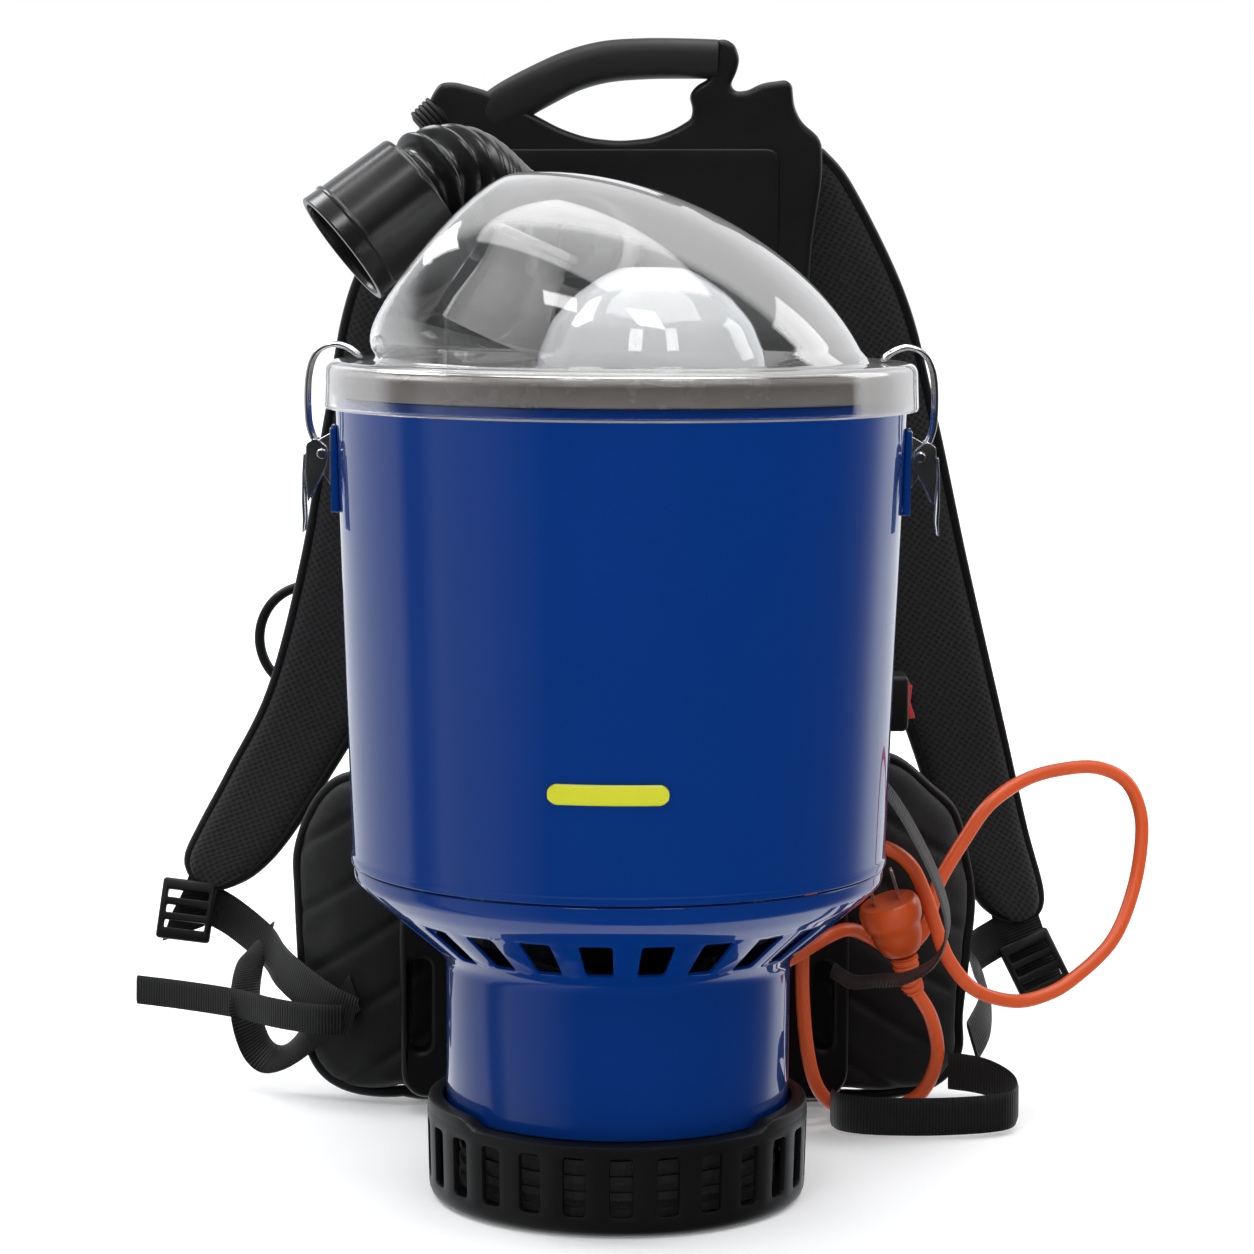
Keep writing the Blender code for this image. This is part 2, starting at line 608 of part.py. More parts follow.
def make_latch(side):
    name = side_name(side)
    pivot = Vector((side * LATCH_PIVOT.x, 0, LATCH_PIVOT.z))
    bail_pivot = Vector((side * BAIL_PIVOT.x, 0, BAIL_PIVOT.z))
    plate = box(f"latch_plate_{name}", (0.010, 0.0300, 0.0420), (side * 0.1395, 0, 0.3570), BLUE_PAINT,
                0.0020)
    hollow = [(0, 0.40), (tank_radius(0.40) + GAP, 0.40), (tank_radius(0.32) + GAP, 0.32), (0, 0.32)]
    plate = boolean(plate, turned("hollow", hollow, BLUE_PAINT, 112))
    front = box("front", (0.02, 0.05, 0.06), (side * (0.1393 + 0.01), 0, 0.357), BLUE_PAINT)
    boolean(plate, front)
    bracket = box(f"latch_bracket_{name}", (0.0080, 0.0220, 0.0270), (side * 0.1436, 0, 0.3630), CHROME,
                  0.0008)
    slot = box("slot", (0.0080, 0.0188, 0.05), (side * (0.1436 + 0.0010), 0, 0.3630), CHROME)
    bracket = boolean(bracket, slot)
    bracket = boolean(bracket, box("window", (0.0080, 0.0188, 0.0240), (side * 0.1400, 0, 0.3705), CHROME))
    pin_hole = cylinder("hole", 0.0016 + GAP, 0.05, pivot, (0, 1, 0), CHROME, 12)
    boolean(bracket, pin_hole)
    cylinder(f"latch_pin_{name}", 0.0016, 0.0250, pivot, (0, 1, 0), CHROME, 12)
    make_lever(name, side, pivot, bail_pivot)
    make_bail(name, side, bail_pivot)


def make_lever(name, side, pivot, bail_pivot):
    """Bent handle with two ears round the pin and the ends of the bail."""
    profile = [
        (side * 0.1418, 0.3672), (side * 0.1460, 0.3722), (side * 0.1508, 0.3728), (side * 0.1522, 0.3560),
        (side * 0.1524, 0.3400), (side * 0.1538, 0.3262), (side * 0.1523, 0.3258), (side * 0.1506, 0.3390),
        (side * 0.1490, 0.3520), (side * 0.1420, 0.3606), (side * 0.1411, 0.3640),
    ]
    lever = flat_outline(f"latch_lever_{name}", [profile], 0.0180, 0.0, CHROME)
    slot = box("slot", (0.0300, 0.0148, 0.0300), (side * 0.1358, 0, 0.3640), CHROME)
    lever = boolean(lever, slot)
    lever = boolean(lever, box("notch", (0.0300, 0.0148, 0.0200), (side * 0.1380, 0, 0.3770), CHROME))
    lever = boolean(lever, cylinder("hole", 0.0016 + GAP, 0.05, pivot, (0, 1, 0), CHROME, 12))
    lever = boolean(lever, cylinder("bail_hole", 0.0013 + GAP, 0.05, bail_pivot, (0, 1, 0), CHROME, 10))
    place_origin(lever, pivot)


def make_bail(name, side, bail_pivot):
    """Wire loop that hooks over the lid's rim."""
    half = 0.0058
    leg = [(BAIL_PIVOT.x, BAIL_PIVOT.z), (0.1512, 0.3800), (0.1512, 0.4000), (0.1475, 0.4120),
           (0.1395, 0.4165), (0.1320, 0.4150), (0.1268, 0.4112)]
    out = [Vector((side * x, -half, z)) for x, z in leg]
    back = [Vector((side * x, half, z)) for x, z in leg[::-1]]
    ends = [Vector((side * BAIL_PIVOT.x, y, BAIL_PIVOT.z)) for y in (-0.0086, 0.0086)]
    path = [ends[0]] + smooth_path(out, 2) + smooth_path(back, 2) + [ends[1]]
    wire = tube(f"latch_bail_{name}", path, 0.0013, CHROME, 2)
    place_origin(wire, bail_pivot)


def place_origin(thing, point):
    """Moves the object's origin to point, leaving its shape where it is."""
    shift = thing.matrix_world.inverted() @ Vector(point)
    thing.data.transform(Matrix.Translation(-shift))
    thing.matrix_world = thing.matrix_world @ Matrix.Translation(shift)


# Back frame, handle and brackets


def frame_outline():
    """Right edge from the hand hole's side of the handle down, then the left edge back up, as (x, z)."""
    upright = [(0.0480, 0.5705), (0.0530, 0.5708), (0.0577, 0.5680), (0.0602, 0.5610), (0.0589, 0.5545),
               (0.0556, 0.5475)]
    dip = [(0.0580, 0.5440), (0.0642, 0.5443), (0.0719, 0.5484), (0.0844, 0.5501), (0.0876, 0.5475)]
    right = [(0.0887, 0.5362), (0.0930, 0.5279), (0.1035, 0.5197), (0.1037, 0.4995), (0.0989, 0.4668),
             (0.0965, 0.4300),
             (0.0950, 0.2200), (0.1050, 0.1700), (0.1190, 0.1350), (0.1230, 0.1000), (0.1230, 0.0200),
             (0.1150, 0.0095)]
    left = [(-0.1080, 0.0095), (-0.1158, 0.0180), (-0.1170, 0.1000), (-0.1140, 0.1350), (-0.1030, 0.1700),
            (-0.0950, 0.2200), (-0.0965, 0.4300), (-0.1000, 0.4700), (-0.1060, 0.5000), (-0.1082, 0.5190),
            (-0.1040, 0.5300), (-0.0998, 0.5412), (-0.0957, 0.5475), (-0.0880, 0.5480), (-0.0705, 0.5435)]
    seam = [(-0.0468, 0.5315), (-0.0326, 0.5241), (-0.0185, 0.5195), (-0.0018, 0.5180), (0.0149, 0.5197),
            (0.0268, 0.5244), (0.0351, 0.5296), (0.0361, 0.5348), (0.0340, 0.5420), (0.0381, 0.5472),
            (0.0440, 0.5500)]
    return upright + dip + right + left + seam


def slot_loop(x, low, high, radius):
    loop = []
    for middle, first in ((high - radius, 0), (low + radius, 180)):
        for i in range(5):
            angle = math.radians(first + 45 * i)
            loop.append((x + radius * math.cos(angle), middle + radius * math.sin(angle)))
    return loop


def make_frame():
    holes = [slot_loop(-0.1055, 0.0346, 0.0850, 0.0052), slot_loop(0.1095, 0.0370, 0.0850, 0.0052)]
    flat_outline("back_frame", [frame_outline(), *holes], FRAME_THICK, FRAME_Y + FRAME_THICK / 2,
                 BLACK_PLASTIC, 0.002)
    top = [(-0.0700, 0.5446), (-0.0514, 0.5528), (-0.0348, 0.5619), (-0.0146, 0.5685), (0.0062, 0.5712),
           (0.0265, 0.5714),
           (0.0474, 0.5708)]
    under = [(0.0434, 0.5504), (0.0167, 0.5502), (-0.0041, 0.5495), (-0.0186, 0.5469), (-0.0347, 0.5395),
             (-0.0462, 0.5325)]
    flat_outline("handle_grip", [top + under], 0.024, FRAME_Y + FRAME_THICK / 2, RUBBER, 0.006)


def make_brackets():
    """Two steel saddles that hold the tank to the frame."""
    for name, z in (("tank_bracket_upper", 0.3550), ("tank_bracket_lower", 0.1950)):
        near = tank_radius(z + 0.016) + GAP
        block = box(name, (0.110, FRAME_Y - GAP - 0.112, 0.030), (0, (FRAME_Y - GAP + 0.112) / 2, z),
                    STEEL, 0.0)
        boolean(block, cylinder("tank_form", near, 0.05, (0, 0, z), (0, 0, 1), STEEL, 112))


# Harness


def make_pads():
    box("back_pad", (0.150, 0.018, 0.270), (0, 0.1765, 0.3150), PAD, 0.006)
    box("lumbar_pad", (0.180, 0.024, 0.140), (0, 0.1795, 0.0900), PAD, 0.006)
    left = [(-0.0920, 0.0120), (-0.1162, 0.0040), (-0.1489, 0.0060), (-0.1669, 0.0209),
            (-0.1717, 0.0541), (-0.1748, 0.1093),
            (-0.1747, 0.1368), (-0.1632, 0.1642), (-0.1459, 0.1780), (-0.1200, 0.1750), (-0.0920, 0.1600)]
    right = [(0.0920, 0.0120), (0.0920, 0.1600), (0.1200, 0.1850), (0.1448, 0.1902), (0.1689, 0.1712),
             (0.1821, 0.1571),
             (0.1890, 0.1330), (0.1932, 0.1088), (0.1914, 0.0829), (0.1871, 0.0442), (0.1864, 0.0214),
             (0.1700, 0.0060),
             (0.1212, 0.0032)]
    for name, loop, side in (("hip_pad_left", left, -1), ("hip_pad_right", right, 1)):
        pad = flat_outline(name, [loop], 0.024, 0.1860, PAD, 0.004)
        bend_back(pad, side)


def bend_back(pad, side):
    """Leans the pad's outer end towards the wearer."""
    place = pad.matrix_world
    back = place.inverted()
    for vertex in pad.data.vertices:
        point = place @ vertex.co
        out = max(0.0, side * point.x - 0.125)
        point.y += 5.0 * out * out + 0.10 * out
        vertex.co = back @ point


def make_shoulder_pads():
    right = [
        ((0.052, 0.1728, 0.510), (0.1035, 0.1728, 0.5130)), ((0.064, 0.180, 0.486), (0.1199, 0.181, 0.4937)),
        ((0.089, 0.198, 0.428), (0.1500, 0.201, 0.4355)), ((0.106, 0.216, 0.366), (0.1690, 0.220, 0.3703)),
        ((0.125, 0.232, 0.290), (0.1880, 0.239, 0.2922)), ((0.158, 0.241, 0.205), (0.2105, 0.251, 0.2022)),
        ((0.1815, 0.246, 0.1401), (0.2260, 0.261, 0.1400)),
        ((0.2045, 0.251, 0.0978), (0.2380, 0.262, 0.0930)),
    ]
    left = [
        ((-0.052, 0.1728, 0.510), (-0.1035, 0.1728, 0.511)), ((-0.062, 0.180, 0.486), (-0.118, 0.181, 0.490)),
        ((-0.083, 0.198, 0.430), (-0.1445, 0.201, 0.437)), ((-0.098, 0.216, 0.366), (-0.159, 0.219, 0.370)),
        ((-0.110, 0.231, 0.290), (-0.1735, 0.238, 0.292)), ((-0.138, 0.240, 0.215), (-0.1935, 0.251, 0.2175)),
        ((-0.165, 0.245, 0.167), (-0.217, 0.260, 0.170)), ((-0.190, 0.249, 0.130), (-0.2365, 0.262, 0.132)),
        ((-0.215, 0.252, 0.109), (-0.2430, 0.262, 0.113)),
    ]
    for name, pairs in (("shoulder_pad_right", right), ("shoulder_pad_left", left)):
        strap(name, pairs, 0.012, PAD, 2)


def make_webbing():
    """Loose webbing below the shoulder pads, and the loop that holds the cord."""
    up = (0.25, 0.1, 1.0)
    left = [(-0.2360, 0.2620, 0.0960), (-0.2180, 0.2560, 0.0880), (-0.1960, 0.2340, 0.0760),
            (-0.1850, 0.2040, 0.0700),
            (-0.1720, 0.1820, 0.0640), (-0.1560, 0.1680, 0.0560), (-0.1420, 0.1640, 0.0500)]
    strap("webbing_left", band(left, 0.022, [up] * len(left)), STRAP_THICK, WEBBING, 2)
    tail = [(-0.1480, 0.1590, 0.0500), (-0.1620, 0.1600, 0.0500), (-0.1850, 0.1750, 0.0500),
            (-0.2100, 0.2000, 0.0500),
            (-0.2400, 0.2200, 0.0500), (-0.2680, 0.2350, 0.0500)]
    strap("webbing_tail_left", band(tail, 0.016, [(0, 0.1, 1.0)] * len(tail)), STRAP_THICK, WEBBING, 2)
    right = [(0.2260, 0.2620, 0.0840), (0.2120, 0.2560, 0.0780), (0.1960, 0.2380, 0.0700),
             (0.2020, 0.2180, 0.0600),
             (0.1985, 0.1800, 0.0500), (0.1900, 0.1600, 0.0400)]
    strap("webbing_right", band(right, 0.022, [(-0.3, 0.1, 1.0)] * len(right)), STRAP_THICK, WEBBING, 2)
    floor = [(0.1770, 0.1560, 0.0250), (0.1950, 0.1500, 0.0235), (0.2080, 0.1400, 0.0190),
             (0.2110, 0.1260, 0.0150),
             (0.2020, 0.1120, 0.0132), (0.1700, 0.1050, 0.0122), (0.1350, 0.1060, 0.0120),
             (0.1180, 0.1140, 0.0120),
             (0.1130, 0.1260, 0.0120)]
    strap("belt_loop_right", band(floor, 0.020, [(0, 0.05, 1.0)] * len(floor)), STRAP_THICK, WEBBING, 2)
    hold = [(0.1290, 0.1400, 0.1900), (0.1410, 0.1240, 0.1800), (0.1530, 0.1080, 0.1620),
            (0.1650, 0.0960, 0.1370),
            (0.1700, 0.0930, 0.1150), (0.1640, 0.0920, 0.0980), (0.1490, 0.0920, 0.0885),
            (0.1330, 0.0960, 0.0860),
            (0.1220, 0.1080, 0.0830), (0.1130, 0.1340, 0.0840)]
    across = [(0.2, 1.0, 0.2)] * len(hold)
    strap("cord_loop", band(hold, 0.020, across), STRAP_THICK, WEBBING, 2)


def make_buckles():
    """Ladder-lock buckles where the webbing meets the pads."""
    for name, centre, way in (
        ("strap_buckle_left", (-0.2420, 0.2500, 0.0920), (0.12, 0.3, 1.0)),
        ("strap_buckle_right", (0.2330, 0.2480, 0.0640), (-0.5, 0.3, 1.0)),
    ):
        turn = Vector((0, 0, 1)).rotation_difference(Vector(way)).to_matrix()
        body = box(name, (0.030, 0.006, 0.034), (0, 0, 0), BLACK_PLASTIC, 0.0015)
        for shift in (-0.0085, 0.0, 0.0085):
            body = boolean(body, box("slot", (0.023, 0.02, 0.0045), (0, 0, shift), BLACK_PLASTIC))
        body.matrix_world = Matrix.Translation(centre) @ turn.to_4x4()


def make_switch():
    housing = box("switch_housing", (0.0250, 0.0260, 0.0300), (0.1400, 0.1600, 0.2240), BLACK_PLASTIC, 0.003)
    arm = box("arm", (0.056, 0.006, 0.020), (0.1055, 0.1690, 0.2240), BLACK_PLASTIC)
    housing = boolean(housing, arm, "UNION")
    boolean(housing, box("pocket", (0.0080, 0.0146, 0.0198), (0.1526, 0.1600, 0.2240), BLACK_PLASTIC))
    rocker = [(0.1512, 0.2152), (0.1556, 0.2152), (0.1536, 0.2240), (0.1556, 0.2328), (0.1512, 0.2328),
              (0.1490, 0.2265),
              (0.1490, 0.2215)]
    key = flat_outline("switch_rocker", [rocker], 0.0140, 0.1600, RED_PLASTIC)
    place_origin(key, ROCKER_PIVOT)
    key.data.transform(Matrix.Rotation(math.radians(ROCKER_REST_DEG), 4, "Z"))


# Power cord


def make_cord():
    way = Vector((0.616, 0.788, 0)).normalized()
    out = Vector((way.x, way.y, 0))
    base = out * (NECK_R + 0.0012)
    gland = turned("cord_gland", [(0.0042, 0.0), (0.0125, 0.0), (0.0125, 0.010), (0.0080, 0.0140),
                                  (0.0062, 0.034),
                                  (0.0042, 0.034)], GREY_PLASTIC, 20, base + Vector((0, 0, 0.0905)), way)
    boolean(gland, cylinder("neck_form", NECK_R + 0.0009, 0.1, (0, 0, 0.09), (0, 0, 1), GREY_PLASTIC, 96))
    path = even_path(CORD_ROUTE, 0.0140)
    tube("power_cord", path, CORD_R, ORANGE_RUBBER, 2)
    relief = even_path(RELIEF_ROUTE, 0.006)
    count = len(relief) - 1
    radii = [0.75 + 0.25 * i / count for i in range(count + 1)]
    tube("cord_relief", relief, 0.0074, ORANGE_RUBBER, 2, radii)
    axis = PLUG_AXIS
    centre = PLUG_FOOT
    turned("plug_body", [(0, 0.0300), (0.0145, 0.0300), (0.0165, 0.0270), (0.0165, 0.0120),
                         (0.0095, 0.0), (0, 0.0)],
                  ORANGE_RUBBER, 20, centre, axis)
    side = axis.cross(Vector((0, 1, 0))).normalized()
    for name, shift in (("plug_pin_line", -0.0065), ("plug_pin_neutral", 0.0065)):
        turn = Vector((0, 0, 1)).rotation_difference(axis).to_matrix()
        box(name, (0.0016, 0.0065, 0.0160), centre + axis * (0.0303 + 0.0080) + side * shift, CHROME, 0, turn)


clear_scene()
PARTS = named_collection("backpack_vacuum")
BLUE_PAINT = material("blue_paint", BLUE, 0.25)
BLACK_PLASTIC = material("black_plastic", BLACK, 0.45)
BLACK_GLOSS = material("black_gloss", BLACK, 0.2)
GREY_PLASTIC = material("grey_plastic", GREY, 0.45)
RED_PLASTIC = material("red_plastic", (0.5, 0.02, 0.02), 0.4)
CLEAR = material("clear_plastic", (0.9, 0.9, 0.9), 0.05, transmission=1.0)
SEAL = material("seal", (0.45, 0.42, 0.40), 0.5)
RUBBER = material("rubber", (0.02, 0.02, 0.02), 0.5)
ORANGE_RUBBER = material("orange_rubber", ORANGE, 0.4)
CHROME = material("chrome", (0.8, 0.8, 0.8), 0.12, 1.0)
STEEL = material("steel", (0.5, 0.5, 0.5), 0.35, 1.0)
ALUMINIUM = material("aluminium", (0.7, 0.7, 0.7), 0.3, 1.0)
COPPER = material("copper", (0.5, 0.2, 0.08), 0.35, 1.0)
FILTER = material("filter", (0.05, 0.05, 0.05), 0.9)
CLOTH = material("cloth", (0.6, 0.58, 0.52), 0.95)
PAD = material("pad", BLACK, 0.9)
WEBBING = material("webbing", BLACK, 0.8)
BADGE = material("badge", (0.62, 0.80, 0.02), 0.35)

make_base()
make_exhaust_filter()
make_motor_housing()
make_motor()
make_tank()
make_badge()
make_bag()
make_bag_plate()
make_lid()
make_inlet()
make_hose()
for latch_side in (-1, 1):
    make_latch(latch_side)
make_frame()
make_brackets()
make_pads()
make_shoulder_pads()
make_webbing()
make_buckles()
make_switch()
make_cord()
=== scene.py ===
"""Looks of the backpack vacuum cleaner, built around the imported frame.

Metres, +Z up, in the frame of the CAD model: the tank's axis is Z, the harness is on +Y and the lead on +X.
"""

import json
from math import copysign, cos, exp, pi, radians, sin, sqrt

import bmesh
import bpy
import numpy as np
from mathutils import Matrix, Vector, noise

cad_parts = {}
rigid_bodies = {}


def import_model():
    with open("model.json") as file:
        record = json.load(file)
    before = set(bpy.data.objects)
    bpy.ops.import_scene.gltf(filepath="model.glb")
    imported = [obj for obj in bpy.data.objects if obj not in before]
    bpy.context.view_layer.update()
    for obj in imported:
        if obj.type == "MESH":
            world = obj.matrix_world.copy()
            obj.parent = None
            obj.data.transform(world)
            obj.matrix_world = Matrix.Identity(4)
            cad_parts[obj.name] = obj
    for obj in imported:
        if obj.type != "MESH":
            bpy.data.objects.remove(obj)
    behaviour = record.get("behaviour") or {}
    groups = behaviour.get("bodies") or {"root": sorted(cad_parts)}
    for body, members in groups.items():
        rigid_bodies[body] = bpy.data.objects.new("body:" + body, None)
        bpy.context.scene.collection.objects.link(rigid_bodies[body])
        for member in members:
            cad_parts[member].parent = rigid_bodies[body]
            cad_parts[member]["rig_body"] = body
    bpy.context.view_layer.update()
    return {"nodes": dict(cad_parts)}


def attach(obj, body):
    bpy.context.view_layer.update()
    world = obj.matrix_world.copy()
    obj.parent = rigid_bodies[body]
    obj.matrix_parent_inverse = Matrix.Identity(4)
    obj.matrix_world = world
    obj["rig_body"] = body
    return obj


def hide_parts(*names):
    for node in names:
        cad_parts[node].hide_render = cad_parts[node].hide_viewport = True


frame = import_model()
NODES = frame["nodes"]


def mm(*rows):
    """Rows of millimetres, in metres."""
    return [tuple(round(value / 1000, 6) for value in row) for row in rows]


# Driving dimensions, as in the CAD model
BASE_R, BASE_H, BASE_PAD_H = 0.0936, 0.045, 0.0495
BASE_SLOTS, BASE_SLOT_W, BASE_SLOT_Z = 26, 0.011, (0.0106, 0.039)
NECK_R, NECK_TOP_Z = 0.0843, 0.1159
CONE_TOP_R = 0.1194
SEAM_Z = 0.1657
VENTS, VENT_W, VENT_Z = 24, 0.0145, (0.124, 0.145)
TANK_R, TANK_TOP_R, TANK_TOP_Z = 0.1295, 0.1379, 0.3925
RIM_R, RIM_LOW, RIM_TOP = 0.1434, 0.3868, 0.4095
LID_WALL = 0.003
DOME_BASE, DOME_R, DOME_RISE, DOME_LEAN = 0.4085, 0.1185, 0.0915, 0.038
PORT = Vector((-0.0212, 0.0518, 0.4666))
PORT_AXIS = Vector((0.218, 0.976, 0.002)).normalized()
PORT_R = 0.027
CHUTE_FOOT = Vector((-0.062, 0.029, 0.4217))
CHUTE_AXIS = Vector((0.403, 0.0, 0.915)).normalized()
FILTER_CENTRE = (0.0145, -0.012)
CUFF_AXIS = Vector((-0.77, -0.18, -0.62)).normalized()
HOSE_END = Vector((-0.1104, 0.0439, 0.4839))
HOSE_CREST = Vector((-0.0613, 0.1067, 0.4802))
HOSE_CREST_WAY = Vector((-0.712, -0.516, 0.476)).normalized()
FRAME_Y, FRAME_THICK = 0.15, 0.015
LATCH_X, LATCH_Z = 0.144, 0.3643
BAIL_X, BAIL_Z = 0.1482, 0.3698
CORD_R = 0.00375
WEB_THICK = 0.0016
GLAND_WAY, GLAND_Z = Vector((0.616, 0.788, 0)).normalized(), 0.0905

# How meshes are made
WELD = 0.000005
NODE_SHARP = 32
CORD_STEP = 0.004
PUFF_PRESSURE, PUFF_CAP, PUFF_FRAMES, PUFF_TENSION = 2.5, 0.0045, 16, 12
HOLD_OFF_FLOOR = 0.0034
CORD_ROUTE = mm(
    (74, 94.6, 90.5), (79.8, 102, 90.8), (87.5, 109, 93.5), (98.5, 114, 99), (110, 118.5, 105), (120.5, 127, 107),
    (131, 137.5, 102), (144.6, 141, 94.5), (157, 143, 97.5), (165, 148, 109), (170, 156, 126), (185, 164, 150),
    (199, 170, 168), (220, 185, 179), (242, 196, 183), (259.8, 200, 183), (274.7, 202, 176), (282, 200, 163),
    (283.6, 195, 146.2), (278.2, 185, 118.7), (265.2, 170, 93.3), (242.8, 155, 75.5), (226.9, 148, 68),
    (209.4, 142, 66), (188, 134, 74), (174, 129, 90.5), (167, 126, 108), (160.7, 123, 126), (153, 120, 142),
    (140.7, 118, 151.5), (125, 122, 153), (109, 128, 143), (99, 132, 120), (97, 132, 85), (99, 131, 50),
    (104, 133, 25), (113, 140, 11), (125, 149, 5), (138, 155, 4), (152, 155, 6), (164, 148, 17), (169.5, 138, 38),
    (165, 127, 60), (156, 118, 76))
RELIEF_ROUTE = mm((155.7, 117.7, 76.5), (152, 115, 84), (149, 113, 96))
PLUG_AXIS = Vector((-0.3, -0.16, 0.94)).normalized()
PLUG_FOOT = Vector((0.1486, 0.1127, 0.0976))


def tank_radius(z):
    low, foot = SEAM_Z + 0.0043, TANK_R + 0.0006
    return foot + (TANK_TOP_R - foot) * (z - low) / (TANK_TOP_Z - low)


# Meshes


def linked(name, data):
    made = bpy.data.objects.new(name, data)
    bpy.context.scene.collection.objects.link(made)
    return made


def make_mesh(name, points, faces):
    mesh = bpy.data.meshes.new(name)
    mesh.from_pydata([tuple(p) for p in points], [], faces)
    mesh.validate()
    return mesh


def piece(name, mesh, finish, body="carrier", stands_for=(), smooth=35):
    """A finished piece that rides on a body and hides the CAD nodes it stands for."""
    made = linked(name, mesh)
    mesh.materials.clear()
    mesh.materials.append(finish)
    mesh.shade_smooth()
    mesh.set_sharp_from_angle(angle=radians(smooth))
    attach(made, body)
    if stands_for:
        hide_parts(*stands_for)
    return made


def evaluated(data, modifiers=()):
    """The mesh that mesh or curve data gives with modifiers, each given as (kind, settings)."""
    thing = linked("work", data)
    for kind, settings in modifiers:
        change = thing.modifiers.new(kind.lower(), kind)
        for key, value in settings.items():
            setattr(change, key, value)
    graph = bpy.context.evaluated_depsgraph_get()
    graph.update()
    made = bpy.data.meshes.new_from_object(thing.evaluated_get(graph))
    bpy.data.objects.remove(thing)
    return made


def cut(mesh, other):
    tool = linked("cutter", other)
    made = evaluated(mesh, [("BOOLEAN", {"operation": "DIFFERENCE", "object": tool})])
    bpy.data.objects.remove(tool)
    return made


def rounded(width, segments=2, angle=35):
    return ("BEVEL", {"width": width, "segments": segments, "limit_method": "ANGLE",
                      "angle_limit": radians(angle), "harden_normals": False})


def shelled(thickness, offset=-1.0, even_walls=True):
    return ("SOLIDIFY", {"thickness": thickness, "offset": offset, "use_even_offset": even_walls})


def edited(mesh, *steps):
    """The mesh after each step has changed it as a bmesh."""
    work = bmesh.new()
    work.from_mesh(mesh)
    for step in steps:
        step(work)
    work.to_mesh(mesh)
    work.free()
    return mesh


def weld(work):
    bmesh.ops.remove_doubles(work, verts=work.verts, dist=WELD)


def face_out(work):
    bmesh.ops.recalc_face_normals(work, faces=work.faces)


def outward(mesh):
    return edited(mesh, weld, face_out)


def tube_faces(rows, size, closed=False, caps=False):
    """Quads between rows of points, each row a ring of this size."""
    faces = []
    for i in range(rows if closed else rows - 1):
        here, after = i * size, (i + 1) % rows * size
        for k in range(size):
            n = (k + 1) % size
            faces.append((here + k, here + n, after + n, after + k))
    if caps:
        faces += [tuple(range(size))[::-1], tuple((rows - 1) * size + k for k in range(size))]
    return faces


def circle(radius, sides=16):
    return [(radius * cos(2 * pi * k / sides), radius * sin(2 * pi * k / sides))
            for k in range(sides)]


def placed(mesh, centre, axis):
    turn = Vector((0, 0, 1)).rotation_difference(Vector(axis)).to_matrix().to_4x4()
    mesh.transform(Matrix.Translation(Vector(centre)) @ turn)
    return mesh


def fillet(points, radius, steps=4, closed=False):
    """The corners of a profile made into arcs of about this radius. radius may be one number for each point."""
    count = len(points)
    radii = [radius] * count if isinstance(radius, (int, float)) else radius
    found = []
    for i, point in enumerate(points):
        here = Vector(point)
        if not closed and i in (0, count - 1) or radii[i] == 0:
            found.append(here)
            continue
        before, after = Vector(points[i - 1]) - here, Vector(points[(i + 1) % count]) - here
        reach = min(radii[i], before.length * 0.45, after.length * 0.45)
        a, b = here + before.normalized() * reach, here + after.normalized() * reach
        for k in range(steps + 1):
            t = k / steps
            found.append(a * (1 - t) ** 2 + here * (2 * t * (1 - t)) + b * t * t)
    return found


def revolved(name, profile, segments=96, centre=(0, 0, 0), axis=(0, 0, 1), closed=False):
    """A surface turned from (radius, height) points."""
    points = [(x, y, height) for radius, height in profile for x, y in circle(radius, segments)]
    mesh = outward(make_mesh(name, points, tube_faces(len(profile), segments, closed)))
    return placed(mesh, centre, axis)


def turned(name, profile, segments, finish, centre=(0, 0, 0), axis=(0, 0, 1), body="carrier", stands_for=(),
           closed=True, smooth=35):
    """A turned piece, its profile closed unless it starts and ends on the axis."""
    return piece(name, revolved(name, profile, segments, centre, axis, closed), finish, body, stands_for, smooth)


def catmull(points, steps, closed=False):
    """Catmull-Rom points through a route."""
    route = [Vector(point) for point in points]
    count = len(route)
    found = []
    for i in range(count if closed else count - 1):
        four = [route[(i + k - 1) % count] if closed else route[min(max(i + k - 1, 0), count - 1)]
                for k in range(4)]
        before, start, end, after = four
        for k in range(steps):
            t = k / steps
            found.append(
                0.5 * (2 * start + (end - before) * t
                       + (2 * before - 5 * start + 4 * end - after) * t * t
                       + (3 * start - before - 3 * end + after) * t ** 3)
            )
    if not closed:
        found.append(route[-1])
    return found


def even(points, count):
    """count + 1 points evenly along a polyline."""
    lengths = [0.0]
    for a, b in zip(points, points[1:]):
        lengths.append(lengths[-1] + (b - a).length)
    found, place = [], 0
    for i in range(count + 1):
        target = lengths[-1] * i / count
        while place < len(points) - 2 and lengths[place + 1] < target:
            place += 1
        part = (target - lengths[place]) / (lengths[place + 1] - lengths[place])
        found.append(points[place].lerp(points[place + 1], part))
    return found


def length_of(points):
    return sum((b - a).length for a, b in zip(points, points[1:]))


def bezier(start, leave, arrive, end, steps=300):
    found = []
    for i in range(steps + 1):
        t = i / steps
        first = start * (1 - t) ** 3 + leave * (3 * t * (1 - t) ** 2)
        found.append(first + arrive * (3 * t * t * (1 - t)) + end * t ** 3)
    return found


